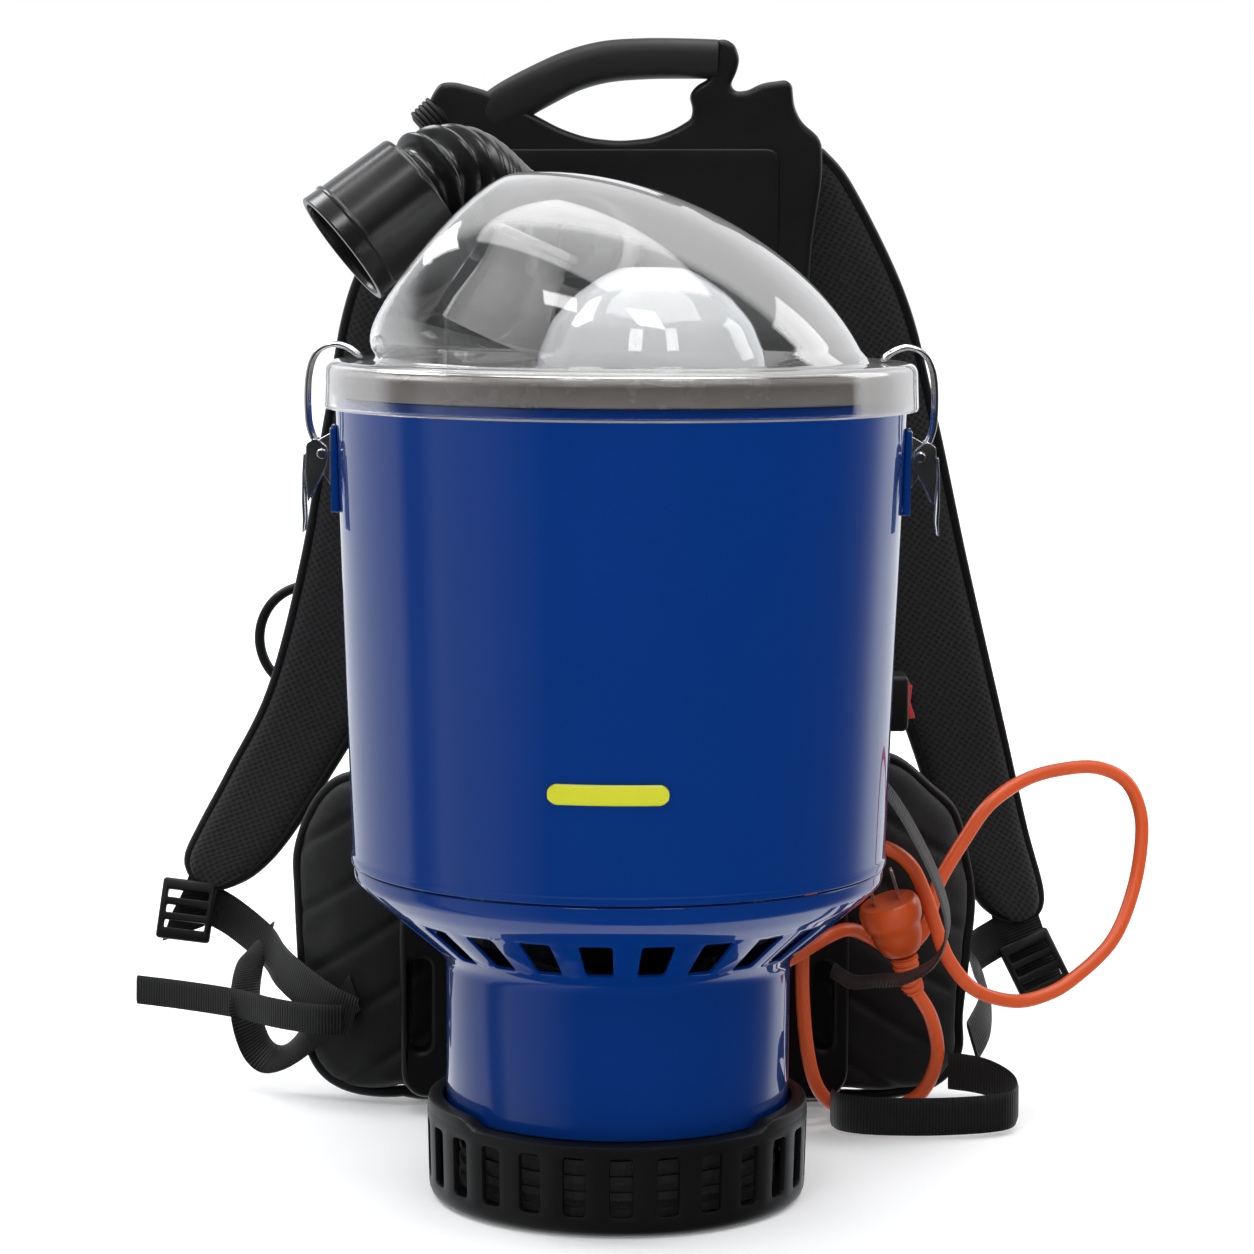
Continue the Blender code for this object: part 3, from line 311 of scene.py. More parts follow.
def swept(name, path, section, closed=False, caps=True):
    """A section carried along a path. section(i) gives its (across, up) points at the path's point i."""
    count = len(path)
    side, points = None, []
    for i in range(count):
        after = path[(i + 1) % count] if closed else path[min(i + 1, count - 1)]
        before = path[i - 1] if closed else path[max(i - 1, 0)]
        way = (after - before).normalized()
        side = side or way.orthogonal().normalized()
        side = (side - way * side.dot(way)).normalized()
        up = way.cross(side)
        points += [path[i] + side * a + up * b for a, b in section(i)]
    return outward(make_mesh(name, points, tube_faces(count, len(section(0)), closed, caps and not closed)))


def flat_shape(name, loops, thick, middle_y, bevel, steps=4, smooth=0):
    """A flat piece from (x, z) loops, the first outside and the others holes, with rounded edges."""
    data = bpy.data.curves.new(name, "CURVE")
    data.dimensions, data.fill_mode = "2D", "BOTH"
    data.extrude, data.bevel_depth, data.offset = thick / 2 - bevel, bevel, -bevel
    data.bevel_resolution = steps
    for loop in loops:
        if smooth:
            loop = catmull([(x, z, 0) for x, z in loop], smooth, closed=True)
        spline = data.splines.new("POLY")
        spline.points.add(len(loop) - 1)
        for point, (x, z, *_) in zip(spline.points, loop):
            point.co = (x, z, 0, 1)
        spline.use_cyclic_u = True
    mesh = evaluated(data)
    mesh.transform(Matrix.Translation((0, middle_y, 0)) @ Matrix.Rotation(pi / 2, 4, "X"))
    return outward(mesh)


def brick(name, size, centre, bevel):
    mesh = edited(bpy.data.meshes.new(name), lambda work: bmesh.ops.create_cube(work, size=1.0),
                  lambda work: bmesh.ops.scale(work, verts=work.verts, vec=size))
    mesh = evaluated(mesh, [rounded(bevel, 3)])
    mesh.transform(Matrix.Translation(Vector(centre)))
    return mesh


def flatten(work):
    bmesh.ops.dissolve_limit(work, angle_limit=radians(1.5), verts=work.verts, edges=work.edges)


def softened(node, finish, bevel, segments=2):
    """A CAD node, welded and with its flat faces whole, with its edges rounded as moulding leaves them."""
    mesh = evaluated(edited(NODES[node].data.copy(), weld, flatten), [rounded(bevel, segments, 40)])
    return piece(f"{node}_shape", mesh, finish, NODES[node]["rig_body"], [node], smooth=40)


def dress(node, finish):
    """A CAD node kept as it is, with its own material."""
    mesh = NODES[node].data
    mesh.materials.clear()
    mesh.materials.append(finish)
    mesh.shade_smooth()
    mesh.set_sharp_from_angle(angle=radians(NODE_SHARP))


def cells_wall(name, count, first, rows_above, slot_rows, rows_below, slot_w, corner, radius_at, arc=4):
    """A round wall with a ring of round-cornered slots, in clean quads.
    rows are (radius, height) down the wall; the slots lie between slot_rows' heights, in cells as tall as cell_z."""
    (cell_low, cell_high), (low, high) = slot_rows
    pitch = 2 * pi / count
    half_w, half_h, middle = slot_w / 2, (high - low) / 2, (high + low) / 2
    reach = pitch / 2 * radius_at(middle)
    inner, outer = [], []
    for corner_x, corner_z, start in ((1, 1, 0), (-1, 1, 90), (-1, -1, 180), (1, -1, 270)):
        cell_z = (cell_high if corner_z > 0 else cell_low) - middle
        for k in range(arc + 1):
            angle = radians(start + 90 * k / arc)
            x = corner_x * (half_w - corner) + corner * cos(angle)
            z = corner_z * (half_h - corner) + corner * sin(angle)
            inner.append((x, z))
            share = 2 * k / arc if corner_x * corner_z > 0 else 2 * (arc - k) / arc
            base_x, base_z = corner_x * (half_w - corner), corner_z * (half_h - corner)
            if share <= 1:
                outer.append((corner_x * reach, base_z + (cell_z - base_z) * share))
            else:
                outer.append((base_x + (corner_x * reach - base_x) * (2 - share), cell_z))
        if corner_z > 0 and corner_x > 0 or corner_z < 0 and corner_x < 0:
            inner.append((0, corner_z * half_h))
            outer.append((0, cell_z))
    columns = sorted({round(x / reach, 6) for x, z in outer if abs(z - (cell_high - middle)) < 1e-9})
    points, faces = [], []

    def at(share, z, cell, radius=None):
        turn = first + cell * pitch + share * pitch / 2
        r = radius_at(z) if radius is None else radius
        return (r * cos(turn), r * sin(turn), z)

    for cell in range(count):
        size, start = len(inner), len(points)
        for loop in (inner, outer):
            points += [at(x / reach, z + middle, cell) for x, z in loop]
        for k in range(size):
            n = (k + 1) % size
            faces.append((start + k, start + n, start + size + n, start + size + k))
        for rows in (rows_above, rows_below):
            for (r0, z0), (r1, z1) in zip(rows, rows[1:]):
                for a, b in zip(columns, columns[1:]):
                    at_here = len(points)
                    points += [at(a, z0, cell, r0), at(b, z0, cell, r0), at(b, z1, cell, r1), at(a, z1, cell, r1)]
                    faces.append((at_here, at_here + 1, at_here + 2, at_here + 3))
    return outward(make_mesh(name, points, faces))


# Materials


class Tree:
    """A node tree with a short way to add nodes and links."""

    def __init__(self, owner):
        owner.use_nodes = True
        self.nodes, self.links = owner.node_tree.nodes, owner.node_tree.links
        self.where = self.nodes.new("ShaderNodeTexCoord")

    def node(self, kind, inputs=None, **settings):
        made = self.nodes.new(f"ShaderNode{kind}")
        for key, value in settings.items():
            setattr(made, key, value)
        for key, value in (inputs or {}).items():
            if isinstance(value, bpy.types.NodeSocket):
                self.links.new(value, made.inputs[key])
            else:
                made.inputs[key].default_value = value
        return made

    def math(self, operation, *values):
        return self.node("Math", dict(enumerate(values)), operation=operation).outputs[0]

    def spread(self, value, low, high, start=0.3, end=0.7, **settings):
        return self.node("MapRange", {"Value": value, "From Min": start, "From Max": end,
                                      "To Min": low, "To Max": high}, **settings).outputs["Result"]


class Finish(Tree):
    """A node material round one Principled shader."""

    def __init__(self, name, slot, colour, roughness, **inputs):
        self.material = bpy.data.materials.new(f"{name}_finish")
        super().__init__(self.material)
        self.shader = self.nodes["Principled BSDF"]
        inputs.update(Base_Color=(*colour, 1), Roughness=roughness)
        for key, value in inputs.items():
            self.shader.inputs[key.replace("_", " ")].default_value = value
        self.height = None

    def drive(self, value, key):
        self.links.new(value, self.shader.inputs[key])

    def noise(self, scale, detail=4, stretch=None):
        vector = self.where.outputs["Object"]
        if stretch:
            vector = self.node("Mapping", {"Vector": vector, "Scale": stretch}).outputs[0]
        return self.node("TexNoise", {"Vector": vector, "Scale": scale, "Detail": detail,
                                      "Roughness": 0.55}).outputs["Fac"]

    def shade(self, value, dark, light):
        """Base colour between two colours by value."""
        ramp = self.node("ValToRGB", {"Fac": value})
        for stop, colour in zip(ramp.color_ramp.elements, (dark, light)):
            stop.color = (*colour, 1)
        self.drive(ramp.outputs["Color"], "Base Color")

    def rough(self, value, low, high):
        self.drive(self.spread(value, low, high), "Roughness")

    def bump(self, value, distance, strength=1.0):
        inputs = {"Height": value, "Distance": distance, "Strength": strength}
        if self.height:
            inputs["Normal"] = self.height
        self.height = self.node("Bump", inputs).outputs["Normal"]
        self.drive(self.height, "Normal")

    def weave(self, pitch, source="UV", slant=45.0):
        """Cells of a net of this pitch, 0 in a hole's middle, over (u, v) or over the frame's (x, z)."""
        vector = self.where.outputs[source]
        if source == "Object":
            parts = self.node("SeparateXYZ", {"Vector": vector})
            vector = self.node("CombineXYZ", {"X": parts.outputs["X"], "Y": parts.outputs["Z"]}).outputs[0]
        turned = self.node("Mapping", {"Vector": vector, "Rotation": (0, 0, radians(slant))})
        return self.node("TexVoronoi", {"Vector": turned.outputs[0], "Scale": 1 / pitch, "Randomness": 0.12},
                         voronoi_dimensions="2D").outputs["Distance"]

    def ribs(self, pitch, direction="Y"):
        """Stripes of this pitch across the UV map."""
        return self.node("TexWave", {"Vector": self.where.outputs["UV"], "Scale": 0.31416 / pitch,
                                     "Distortion": 0.0, "Detail": 0.0}, bands_direction=direction).outputs["Fac"]


def scaled(colour, factor):
    return tuple(min(1, c * factor) for c in colour)


def grey(level):
    return (level, level, level)


def paint_blue():
    made = Finish("blue_paint", "blue_paint", (0.0004, 0.0215, 0.138), 0.35, Coat_Weight=1.0,
                  Coat_Roughness=0.02, Specular_IOR_Level=0.02)
    made.shade(made.noise(14, 3), (0.0003, 0.02, 0.13), (0.0005, 0.023, 0.145))
    made.rough(made.noise(60), 0.32, 0.4)
    made.bump(made.noise(420, 1), 0.00001, 0.2)
    return made.material


def moulded(name, slot, level, low, high, grain=1600, depth=0.00006, shine=0.3):
    made = Finish(name, slot, grey(level), low, Specular_IOR_Level=shine)
    made.shade(made.noise(9, 3), grey(level * 0.85), (level * 1.2, level * 1.2, level * 1.25))
    made.rough(made.noise(30), low, high)
    made.bump(made.noise(grain, 2), depth, 0.5)
    return made.material


def clear_plastic(name, colour, roughness, haze=0.0, painted_edge_glare=0.0):
    """Clear moulding. Haze whitens it all over; the edge amount paints a whitish reflection of the backdrop where it is
    seen along its surface, weaker on the far -X side.
    """
    made = Finish(name, "clear_plastic", colour, roughness, IOR=1.49, Transmission_Weight=1.0 - haze,
                  Specular_IOR_Level=0.6)
    made.rough(made.noise(18, 3), roughness * 0.7, roughness * 1.6 + 0.004)
    made.bump(made.noise(22, 1), 0.0002, 0.1)
    if painted_edge_glare:
        # Painted reflection: where the surface is seen edge-on it turns whitish and less clear, in place of the bright
        # backdrop's reflection; X sets how much, less on the far -X side.
        facing = made.node("LayerWeight", {"Blend": 0.5}).outputs["Facing"]
        parts = made.node("SeparateXYZ", {"Vector": made.where.outputs["Object"]})
        side = made.spread(parts.outputs["X"], 0.3, 1.0, -0.085, -0.03)
        glare_amount = made.math("MULTIPLY", made.spread(facing, 0.0, 1.0, 0.37, 0.45), side)
        made.drive(made.spread(glare_amount, 1.0 - haze, 1.0 - painted_edge_glare, 0.0, 1.0), "Transmission Weight")
        made.shade(glare_amount, colour, (0.42, 0.412, 0.405))
    return made.material


def metal(name, slot, colour, roughness, stretch=None, depth=0.00002):
    made = Finish(name, slot, colour, roughness, Metallic=1.0)
    made.rough(made.noise(90, 4, stretch), roughness * 0.7, roughness * 1.5)
    made.bump(made.noise(500, 2, stretch), depth, 0.4)
    made.shade(made.noise(25), scaled(colour, 0.9), scaled(colour, 1.05))
    return made.material


def rubber(name, slot, colour, low, high):
    made = Finish(name, slot, colour, low)
    made.shade(made.noise(35), scaled(colour, 0.88), scaled(colour, 1.08))
    made.rough(made.noise(50), low, high)
    made.bump(made.noise(1200, 2), 0.00004, 0.4)
    return made.material


SHEEN_TINT = (0.6, 0.6, 0.65, 1)


def net_fabric(name, source):
    """Black spacer mesh: small diamond holes over a darker ground."""
    made = Finish(name, "pad_fabric", grey(0.006), 0.85, Sheen_Weight=0.1, Sheen_Roughness=0.5,
                  Sheen_Tint=SHEEN_TINT)
    cell = made.weave(0.003, source)
    made.shade(made.spread(cell, 0, 1, 0.1, 0.55), grey(0.001), (0.012, 0.012, 0.0125))
    made.bump(cell, 0.0006, 0.9)
    made.bump(made.noise(2500, 2), 0.0001, 0.4)
    return made.material


def plain_fabric(name, level=0.005):
    """Black woven nylon with a fine basket weave."""
    made = Finish(name, "pad_fabric", grey(level), 0.7, Sheen_Weight=0.07, Sheen_Roughness=0.4,
                  Sheen_Tint=SHEEN_TINT)
    made.bump(made.weave(0.0011, "Object", 0), 0.0002, 0.7)
    made.bump(made.noise(90, 3), 0.0008, 0.35)
    made.shade(made.noise(40, 3), grey(level * 0.6), grey(level * 1.5))
    return made.material


def web_fabric():
    made = Finish("webbing", "webbing", grey(0.006), 0.55, Sheen_Weight=0.05, Sheen_Roughness=0.4)
    across = made.ribs(0.0017)
    made.shade(across, grey(0.0022), (0.0085, 0.0085, 0.009))
    made.bump(across, 0.0003, 0.8)
    made.bump(made.ribs(0.0009, "X"), 0.0001, 0.5)
    return made.material


def cloth_bag():
    made = Finish("bag_cloth", "bag_cloth", (0.62, 0.58, 0.5), 0.95)
    made.bump(made.weave(0.0012, "Object", 0), 0.0002, 0.6)
    made.shade(made.noise(30), (0.52, 0.48, 0.42), (0.68, 0.65, 0.58))
    return made.material


def badge_paint():
    made = Finish("badge", "badge", (0.46, 0.47, 0.0006), 0.34, Coat_Weight=0.3, Coat_Roughness=0.1)
    made.shade(made.noise(60), (0.44, 0.45, 0.0005), (0.49, 0.5, 0.0008))
    made.bump(made.noise(900, 2), 0.00003, 0.3)
    return made.material


def filter_felt():
    made = Finish("filter", "filter", grey(0.02), 0.95)
    made.shade(made.noise(300), grey(0.012), grey(0.032))
    made.bump(made.noise(900), 0.0003, 0.8)
    return made.material


BLUE = paint_blue()
BLACK = moulded("black_plastic", "black_plastic", 0.0045, 0.38, 0.5)
FRAME_BLACK = moulded("frame_plastic", "black_plastic", 0.004, 0.34, 0.46, 1100, 0.00005)
GLOSS_BLACK = moulded("black_gloss_plastic", "black_gloss_plastic", 0.005, 0.2, 0.27, 700, 0.000006, 0.6)
HOSE_BLACK = moulded("black_rubber", "black_rubber", 0.005, 0.18, 0.26, 600, 0.00001, 0.6)
GRIP_BLACK = moulded("grip_rubber", "black_rubber", 0.0085, 0.42, 0.56, 1300, 0.00008)
GREY = moulded("grey_plastic", "grey_plastic", 0.3, 0.4, 0.52, 1300, 0.00004)
RED = rubber("red_plastic", "red_plastic", (0.42, 0.01, 0.01), 0.28, 0.38)
CLEAR = clear_plastic("clear_plastic", (0.93, 0.93, 0.93), 0.02, 0.0, 0.62)
CLEAR_INNER = clear_plastic("clear_inner", (0.58, 0.575, 0.57), 0.035, 0.16)
CLEAR_CAP = clear_plastic("clear_cap", (0.78, 0.79, 0.8), 0.03, 0.26)
SEAL = rubber("seal_rubber", "seal_rubber", (0.12, 0.108, 0.1), 0.2, 0.3)
ORANGE = rubber("orange_rubber", "orange_rubber", (0.56, 0.07, 0.009), 0.32, 0.42)
# Steel darkened to a near-black blue as painted shade, for the motor parts seen through the vents in the dark inside of
# the housing.
SHADE_DARKENED_STEEL = metal("shade_darkened_steel", "steel", (0.03, 0.034, 0.045), 0.45)
CHROME = metal("chrome", "chrome", (0.8, 0.81, 0.83), 0.16)
PIN_METAL = metal("pin_metal", "chrome", (0.78, 0.75, 0.7), 0.38)
STEEL = metal("steel", "steel", (0.5, 0.5, 0.51), 0.32, (1, 1, 12))
ALUMINIUM = metal("aluminium", "aluminium", (0.7, 0.7, 0.71), 0.35)
COPPER = metal("copper", "copper", (0.55, 0.24, 0.09), 0.35, (1, 1, 30), 0.0002)
FELT = filter_felt()
BAG_CLOTH = cloth_bag()
NET = net_fabric("net_fabric", "UV")
PAD_NET = net_fabric("pad_net", "Object")
NYLON = plain_fabric("pad_fabric")
WEB = web_fabric()
BADGE = badge_paint()


# Camera, light and floor


def make_camera():
    data = bpy.data.cameras.new("camera")
    data.lens, data.sensor_width = 106.2, 36.0
    made = linked("camera", data)
    down, roll = 6.2, 0.35
    turn = Matrix.Rotation(radians(90 - down), 4, "X") @ Matrix.Rotation(radians(roll), 4, "Z")
    made.matrix_world = Matrix.Translation((0.0034, -1.79, 0.4745)) @ turn
    bpy.context.scene.camera = made


def soft_light(name, place, aim, size, power, mirrored=True):
    data = bpy.data.lights.new(name, "AREA")
    data.shape, data.size, data.size_y, data.energy = "RECTANGLE", *size, power
    made = linked(name, data)
    way = Vector(aim) - Vector(place)
    made.matrix_world = Matrix.Translation(place) @ way.to_track_quat("-Z", "Y").to_matrix().to_4x4()
    made.visible_glossy = made.visible_transmission = mirrored


def make_floor():
    """A wide white floor that glows as painted light, faintly near the object and more strongly far from it. It stays
    out of reflections, as the white card under a product shot does.
    """
    reach = 14.0
    corners = [(x * reach, y * reach, 0) for x, y in ((-1, -1), (1, -1), (1, 1), (-1, 1))]
    mesh = make_mesh("floor", corners, [(0, 1, 2, 3)])
    ground = linked("floor", mesh)
    white = Finish("floor_white", None, grey(0.92), 0.7, Specular_IOR_Level=0.1, Emission_Color=(1, 1, 1, 1))
    # Painted light: emission rises with distance from the object, so the far floor shows white while shadows near the
    # object stay. The glow also lights the object from below.
    far = white.node("VectorMath", {0: white.where.outputs["Object"]}, operation="LENGTH").outputs["Value"]
    white.drive(white.spread(far, 0.14, 0.85, 0.35, 1.6), "Emission Strength")
    mesh.materials.append(white.material)
    ground.visible_glossy = False


# Brightness of the surroundings at each azimuth, 0 degrees being in front of the object
AROUND = ((-180, 1.0), (-150, 0.9), (-122, 0.75), (-102, 0.62), (-95, 0.1), (-88, 0.12),
          (-79, 0.46), (-52, 0.28), (-28, 0.03), (0, 0.02), (70, 0.02), (100, 0.04),
          (114, 0.16), (121, 0.35), (133, 0.95), (150, 1.0), (180, 1.0))


def make_studio():
    """White backdrop behind and beside the object, dark in front of it, as the tank's reflections show."""
    world = bpy.data.worlds.new("studio")
    tree = Tree(world)
    parts = tree.node("SeparateXYZ", {0: tree.where.outputs["Generated"]}).outputs
    azimuth = tree.math("ARCTAN2", parts["X"], tree.math("MULTIPLY", parts["Y"], -1.0))
    ramp = tree.node("ValToRGB", {"Fac": tree.math("MULTIPLY_ADD", azimuth, 0.5 / pi, 0.5)})
    stops = ramp.color_ramp.elements
    stops.remove(stops[-1])
    for degrees, level in AROUND:
        place = degrees / 360 + 0.5
        stop = stops.new(place) if degrees > -180 else stops[0]
        stop.position, stop.color = place, (*grey(level), 1)
    high = tree.spread(parts["Z"], 0.0, 1.0, 0.3, 0.7, interpolation_type="SMOOTHSTEP")
    blend = tree.node("Mix", {"Factor": high, "A": ramp.outputs["Color"], "B": 0.5})
    lit = tree.nodes["Background"]
    lit.inputs["Color"].default_value = (0.94, 0.965, 1.0, 1)
    tree.links.new(tree.math("MULTIPLY", blend.outputs["Result"], 1.15), lit.inputs["Strength"])
    seen = tree.node("Background", {"Color": (1, 1, 1, 1)})
    to_camera = tree.node("LightPath").outputs["Is Camera Ray"]
    mix = tree.node("MixShader", {0: to_camera, 1: lit.outputs[0], 2: seen.outputs[0]})
    tree.links.new(mix.outputs[0], tree.nodes["World Output"].inputs["Surface"])
    bpy.context.scene.world = world
    soft_light("overhead", (0.1, 0.1, 2.3), (0, 0.0, 0.2), (2.0, 1.6), 34)
    soft_light("key_left", (-0.55, -1.55, 1.95), (0, 0, 0.45), (0.5, 0.42), 6)
    soft_light("key_right", (0.7, -1.5, 1.95), (0, 0, 0.45), (0.42, 0.42), 5)
    soft_light("front_fill", (0.0, -2.6, 0.9), (0, 0, 0.3), (2.4, 1.6), 27, mirrored=False)
    soft_light("side_right", (1.9, 0.9, 1.35), (0.05, 0, 0.45), (0.9, 1.1), 12)
    soft_light("top_left", (-1.45, 0.75, 1.85), (-0.1, 0.05, 0.48), (0.9, 0.8), 20)
    bpy.context.scene.view_settings.view_transform = "Standard"


make_camera()
make_floor()
make_studio()


# Power lead


def make_cord():
    fine = catmull(CORD_ROUTE, 12)
    count = round(length_of(fine) / CORD_STEP)
    route = even(fine, count)
    data = bpy.data.curves.new("power_lead", "CURVE")
    data.dimensions, data.bevel_depth, data.bevel_resolution, data.use_fill_caps = "3D", CORD_R, 6, True
    spline = data.splines.new("POLY")
    spline.points.add(len(route) - 1)
    for knot, point in zip(spline.points, route):
        knot.co = (*point, 1)
    spline.use_smooth = True
    lead = linked("power_lead", data)
    data.materials.append(ORANGE)
    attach(lead, "carrier")
    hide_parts("power_cord")
    pieces = [make_relief(), make_plug()]
    for node in ("plug_pin_line", "plug_pin_neutral"):
        pieces.append(softened(node, PIN_METAL, 0.0004))


def make_relief():
    """Ribbed sleeve where the lead enters the plug."""
    route = even(catmull(RELIEF_ROUTE, 8), 48)

    def section(i):
        along = i / 48
        radius = 0.005 + 0.0018 * along + (0.0007 if i % 8 in (2, 3, 4, 5) and 4 < i < 46 else 0.0)
        return circle(radius, 24)

    return piece("plug_sleeve", swept("plug_sleeve", route, section), ORANGE, stands_for=["cord_relief"])


def make_plug():
    """Moulded plug: a round face, a waisted grip and a collar."""
    profile = fillet(mm((0, 30), (14.8, 30), (16.5, 26.2), (16, 19), (13.6, 15), (13, 8), (9.8, 1), (7, 0), (0, 0)),
                     [0, 0.0012, 0.002, 0.003, 0.003, 0.003, 0.003, 0.001, 0], 5)
    return turned("plug_grip", profile, 64, ORANGE, PLUG_FOOT, PLUG_AXIS, stands_for=["plug_body"], closed=False)


def make_gland():
    base = GLAND_WAY * (NECK_R + 0.0014) + Vector((0, 0, GLAND_Z))
    rings = []
    for i in range(5):
        height = 0.015 + 0.0038 * i
        size = 0.0078 - 0.0003 * i
        rings += [(size, height), (size, height + 0.0022), (size - 0.0012, height + 0.0026),
                  (size - 0.0012, height + 0.0036)]
    profile = [(0.0043, 0.0), (0.0124, 0.0), (0.0124, 0.0086), (0.01, 0.0118), (0.0078, 0.0138), *rings,
               (0.0062, 0.0338), (0.0043, 0.0338)]
    turned("lead_gland", fillet(profile, 0.0005, 3), 48, GREY, base, GLAND_WAY, stands_for=["cord_gland"])


# Base, motor housing and tank


def make_base():
    wall = BASE_R - 0.0012
    below = [(wall + 0.0003, 0.0072), (wall, 0.005), (wall - 0.0008, 0.003), (wall - 0.0026, 0.0012),
             (wall - 0.0056, 0.0002), (wall - 0.012, 0.0), (0.06, 0.0), (0.03, 0.0), (0.0005, 0.0)]
    top = 0.0418

    def radius_at(z):
        return wall + 0.0003 + 0.0009 * (z - 0.0072) / (top - 0.0072)

    skin = cells_wall("base_cage", BASE_SLOTS, radians(-88.5), [(BASE_R, BASE_H - 0.0004), (BASE_R, top)],
                      ((0.0072, top), BASE_SLOT_Z), below, BASE_SLOT_W, 0.0022, radius_at)
    mesh = evaluated(skin, [shelled(0.003), rounded(0.0006, 2, 50)])
    piece("base_cage", mesh, BLACK, stands_for=["base_ring"], smooth=40)
    deck = fillet([(0.07, BASE_H - 0.0006), (0.07, BASE_H - 0.0004), (BASE_R - 0.0012, BASE_H - 0.0002),
                   (BASE_R, BASE_H - 0.0014), (BASE_R, BASE_H - 0.003), (0.07, BASE_H - 0.003)], 0.0006, 3)
    turned("base_deck", deck, 156, BLACK)
    for side in (-1, 1):
        rise_pad(side)


def rise_pad(side):
    """Raised quarter of the base's rim beside the neck, with sloping ends."""
    span = radians(46)
    across = [NECK_R + 0.0014, NECK_R + 0.0016, BASE_R - 0.0026, BASE_R - 0.0007, BASE_R]
    columns, points = 40, []
    for i in range(columns + 1):
        turn = -span + 2 * span * i / columns
        lift = min(1.0, max(0.0, (cos(turn) * BASE_R - 0.0665) / 0.01))
        top = BASE_H + (BASE_PAD_H - BASE_H) * lift * lift * (3 - 2 * lift)
        heights = [BASE_H - 0.001, top, top, top - 0.0007, BASE_H - 0.001]
        points += [(side * radius * cos(turn), radius * sin(turn), z)
                   for radius, z in zip(across, heights)]
    mesh = outward(make_mesh("base_pad", points, tube_faces(columns + 1, len(across), caps=True)))
    name = "right" if side > 0 else "left"
    piece(f"base_pad_{name}", evaluated(mesh, [rounded(0.0005, 2, 60)]), BLACK, smooth=50)


def make_housing():
    """Pressed shoulder, vented cone and neck in one skin."""
    shoulder = fillet([(TANK_R - 0.0006, SEAM_Z - 0.0004), (TANK_R, SEAM_Z - 0.0012), (TANK_R - 0.0001, 0.1585),
                       (CONE_TOP_R + 0.0022, 0.1505), (CONE_TOP_R - 0.004, VENT_Z[1] + 0.0006)],
                      [0, 0.0008, 0.0085, 0.008, 0], 7)
    slope = (CONE_TOP_R - 0.004 - NECK_R - 0.005) / (VENT_Z[1] + 0.0006 - VENT_Z[0] + 0.0006)

    def radius_at(z):
        return NECK_R + 0.005 + slope * (z - VENT_Z[0] + 0.0006)

    low = VENT_Z[0] - 0.0006
    neck = fillet([(radius_at(low), low), (NECK_R + 0.0002, NECK_TOP_Z + 0.0016), (NECK_R, 0.1),
                   (NECK_R, BASE_H + 0.0004)], [0, 0.005, 0, 0], 8)
    slots = ((low, VENT_Z[1] + 0.0006), (VENT_Z[0] + 0.0012, VENT_Z[1] - 0.0012))
    skin = cells_wall("housing_skin", VENTS, radians(-95.2), shoulder, slots, neck, VENT_W, 0.0018, radius_at)
    mesh = evaluated(skin, [shelled(0.0016), rounded(0.0005, 2, 50)])
    piece("housing_skin", mesh, BLUE, stands_for=["motor_housing"], smooth=40)


def make_tank():
    foot = TANK_R + 0.0006
    bottom = SEAM_Z + 0.0003
    outer = fillet([(foot - 0.0016, bottom), (foot + 0.0007, bottom + 0.0001), (foot + 0.0007, bottom + 0.003),
                    (foot, bottom + 0.0046), (tank_radius(0.28), 0.28), (TANK_TOP_R, TANK_TOP_Z),
                    (TANK_TOP_R - 0.0015, TANK_TOP_Z + 0.0001), (TANK_TOP_R - 0.0016, TANK_TOP_Z - 0.003),
                    (foot - 0.0016, bottom + 0.006)], 0.0009, 4, closed=True)
    turned("tank_wall", outer, 200, BLUE, stands_for=["tank"])


def make_badge():
    """A crowned bar bent round the tank's front."""
    left, right, middle, radius = -0.028, 0.0185, 0.2175, 0.0046
    columns, rows = 96, 12
    points, faces = [], []
    for i in range(columns + 1):
        x = left - radius + (right - left + 2 * radius) * i / columns
        past = max(0.0, left - x, x - right)
        half = sqrt(max(radius ** 2 - past ** 2, 1e-9))
        for k in range(rows + 1):
            across = -1 + 2 * k / rows
            z = middle + half * across
            rim = 1 - max(abs(across), past / radius) ** 2
            lift = 0.0004 + 0.0014 * min(1.0, 2.2 * max(rim, 0) ** 0.5)
            r = tank_radius(z) + lift
            turn = x / tank_radius(middle)
            points.append((r * sin(turn), -r * cos(turn), z))
    for i in range(columns):
        for k in range(rows):
            a = i * (rows + 1) + k
            faces.append((a, a + 1, a + rows + 2, a + rows + 1))
    mesh = outward(make_mesh("name_bar", points, faces))
    mesh = evaluated(mesh, [("SOLIDIFY", {"thickness": 0.0005, "offset": 0})])
    piece("name_bar", mesh, BADGE, stands_for=["badge"], smooth=60)


# Lid, inlet and hose


def smooth_flat(point, place, normal, inset, soft=0.006):
    """Point pressed behind a plane, with a soft shoulder along the plane's edge."""
    normal = normal.normalized()
    over = (point - place).dot(normal) + inset
    press = over if over > soft else (over + soft) ** 2 / (4 * soft) if over > -soft else 0.0
    return point - normal * press


def dome_point(lift, turn, inset=0.0):
    radius, rise = (DOME_R - inset) * cos(lift), (DOME_RISE - inset) * sin(lift)
    point = Vector((radius * cos(turn) - DOME_LEAN * sin(lift), radius * sin(turn),
                    DOME_BASE + rise))
    point = smooth_flat(point, Vector((-0.0905, 0.0, 0.457)), Vector((-0.773, 0.1, 0.634)), inset)
    return smooth_flat(point, PORT, Vector((0.15, 0.85, 0.5)), inset)


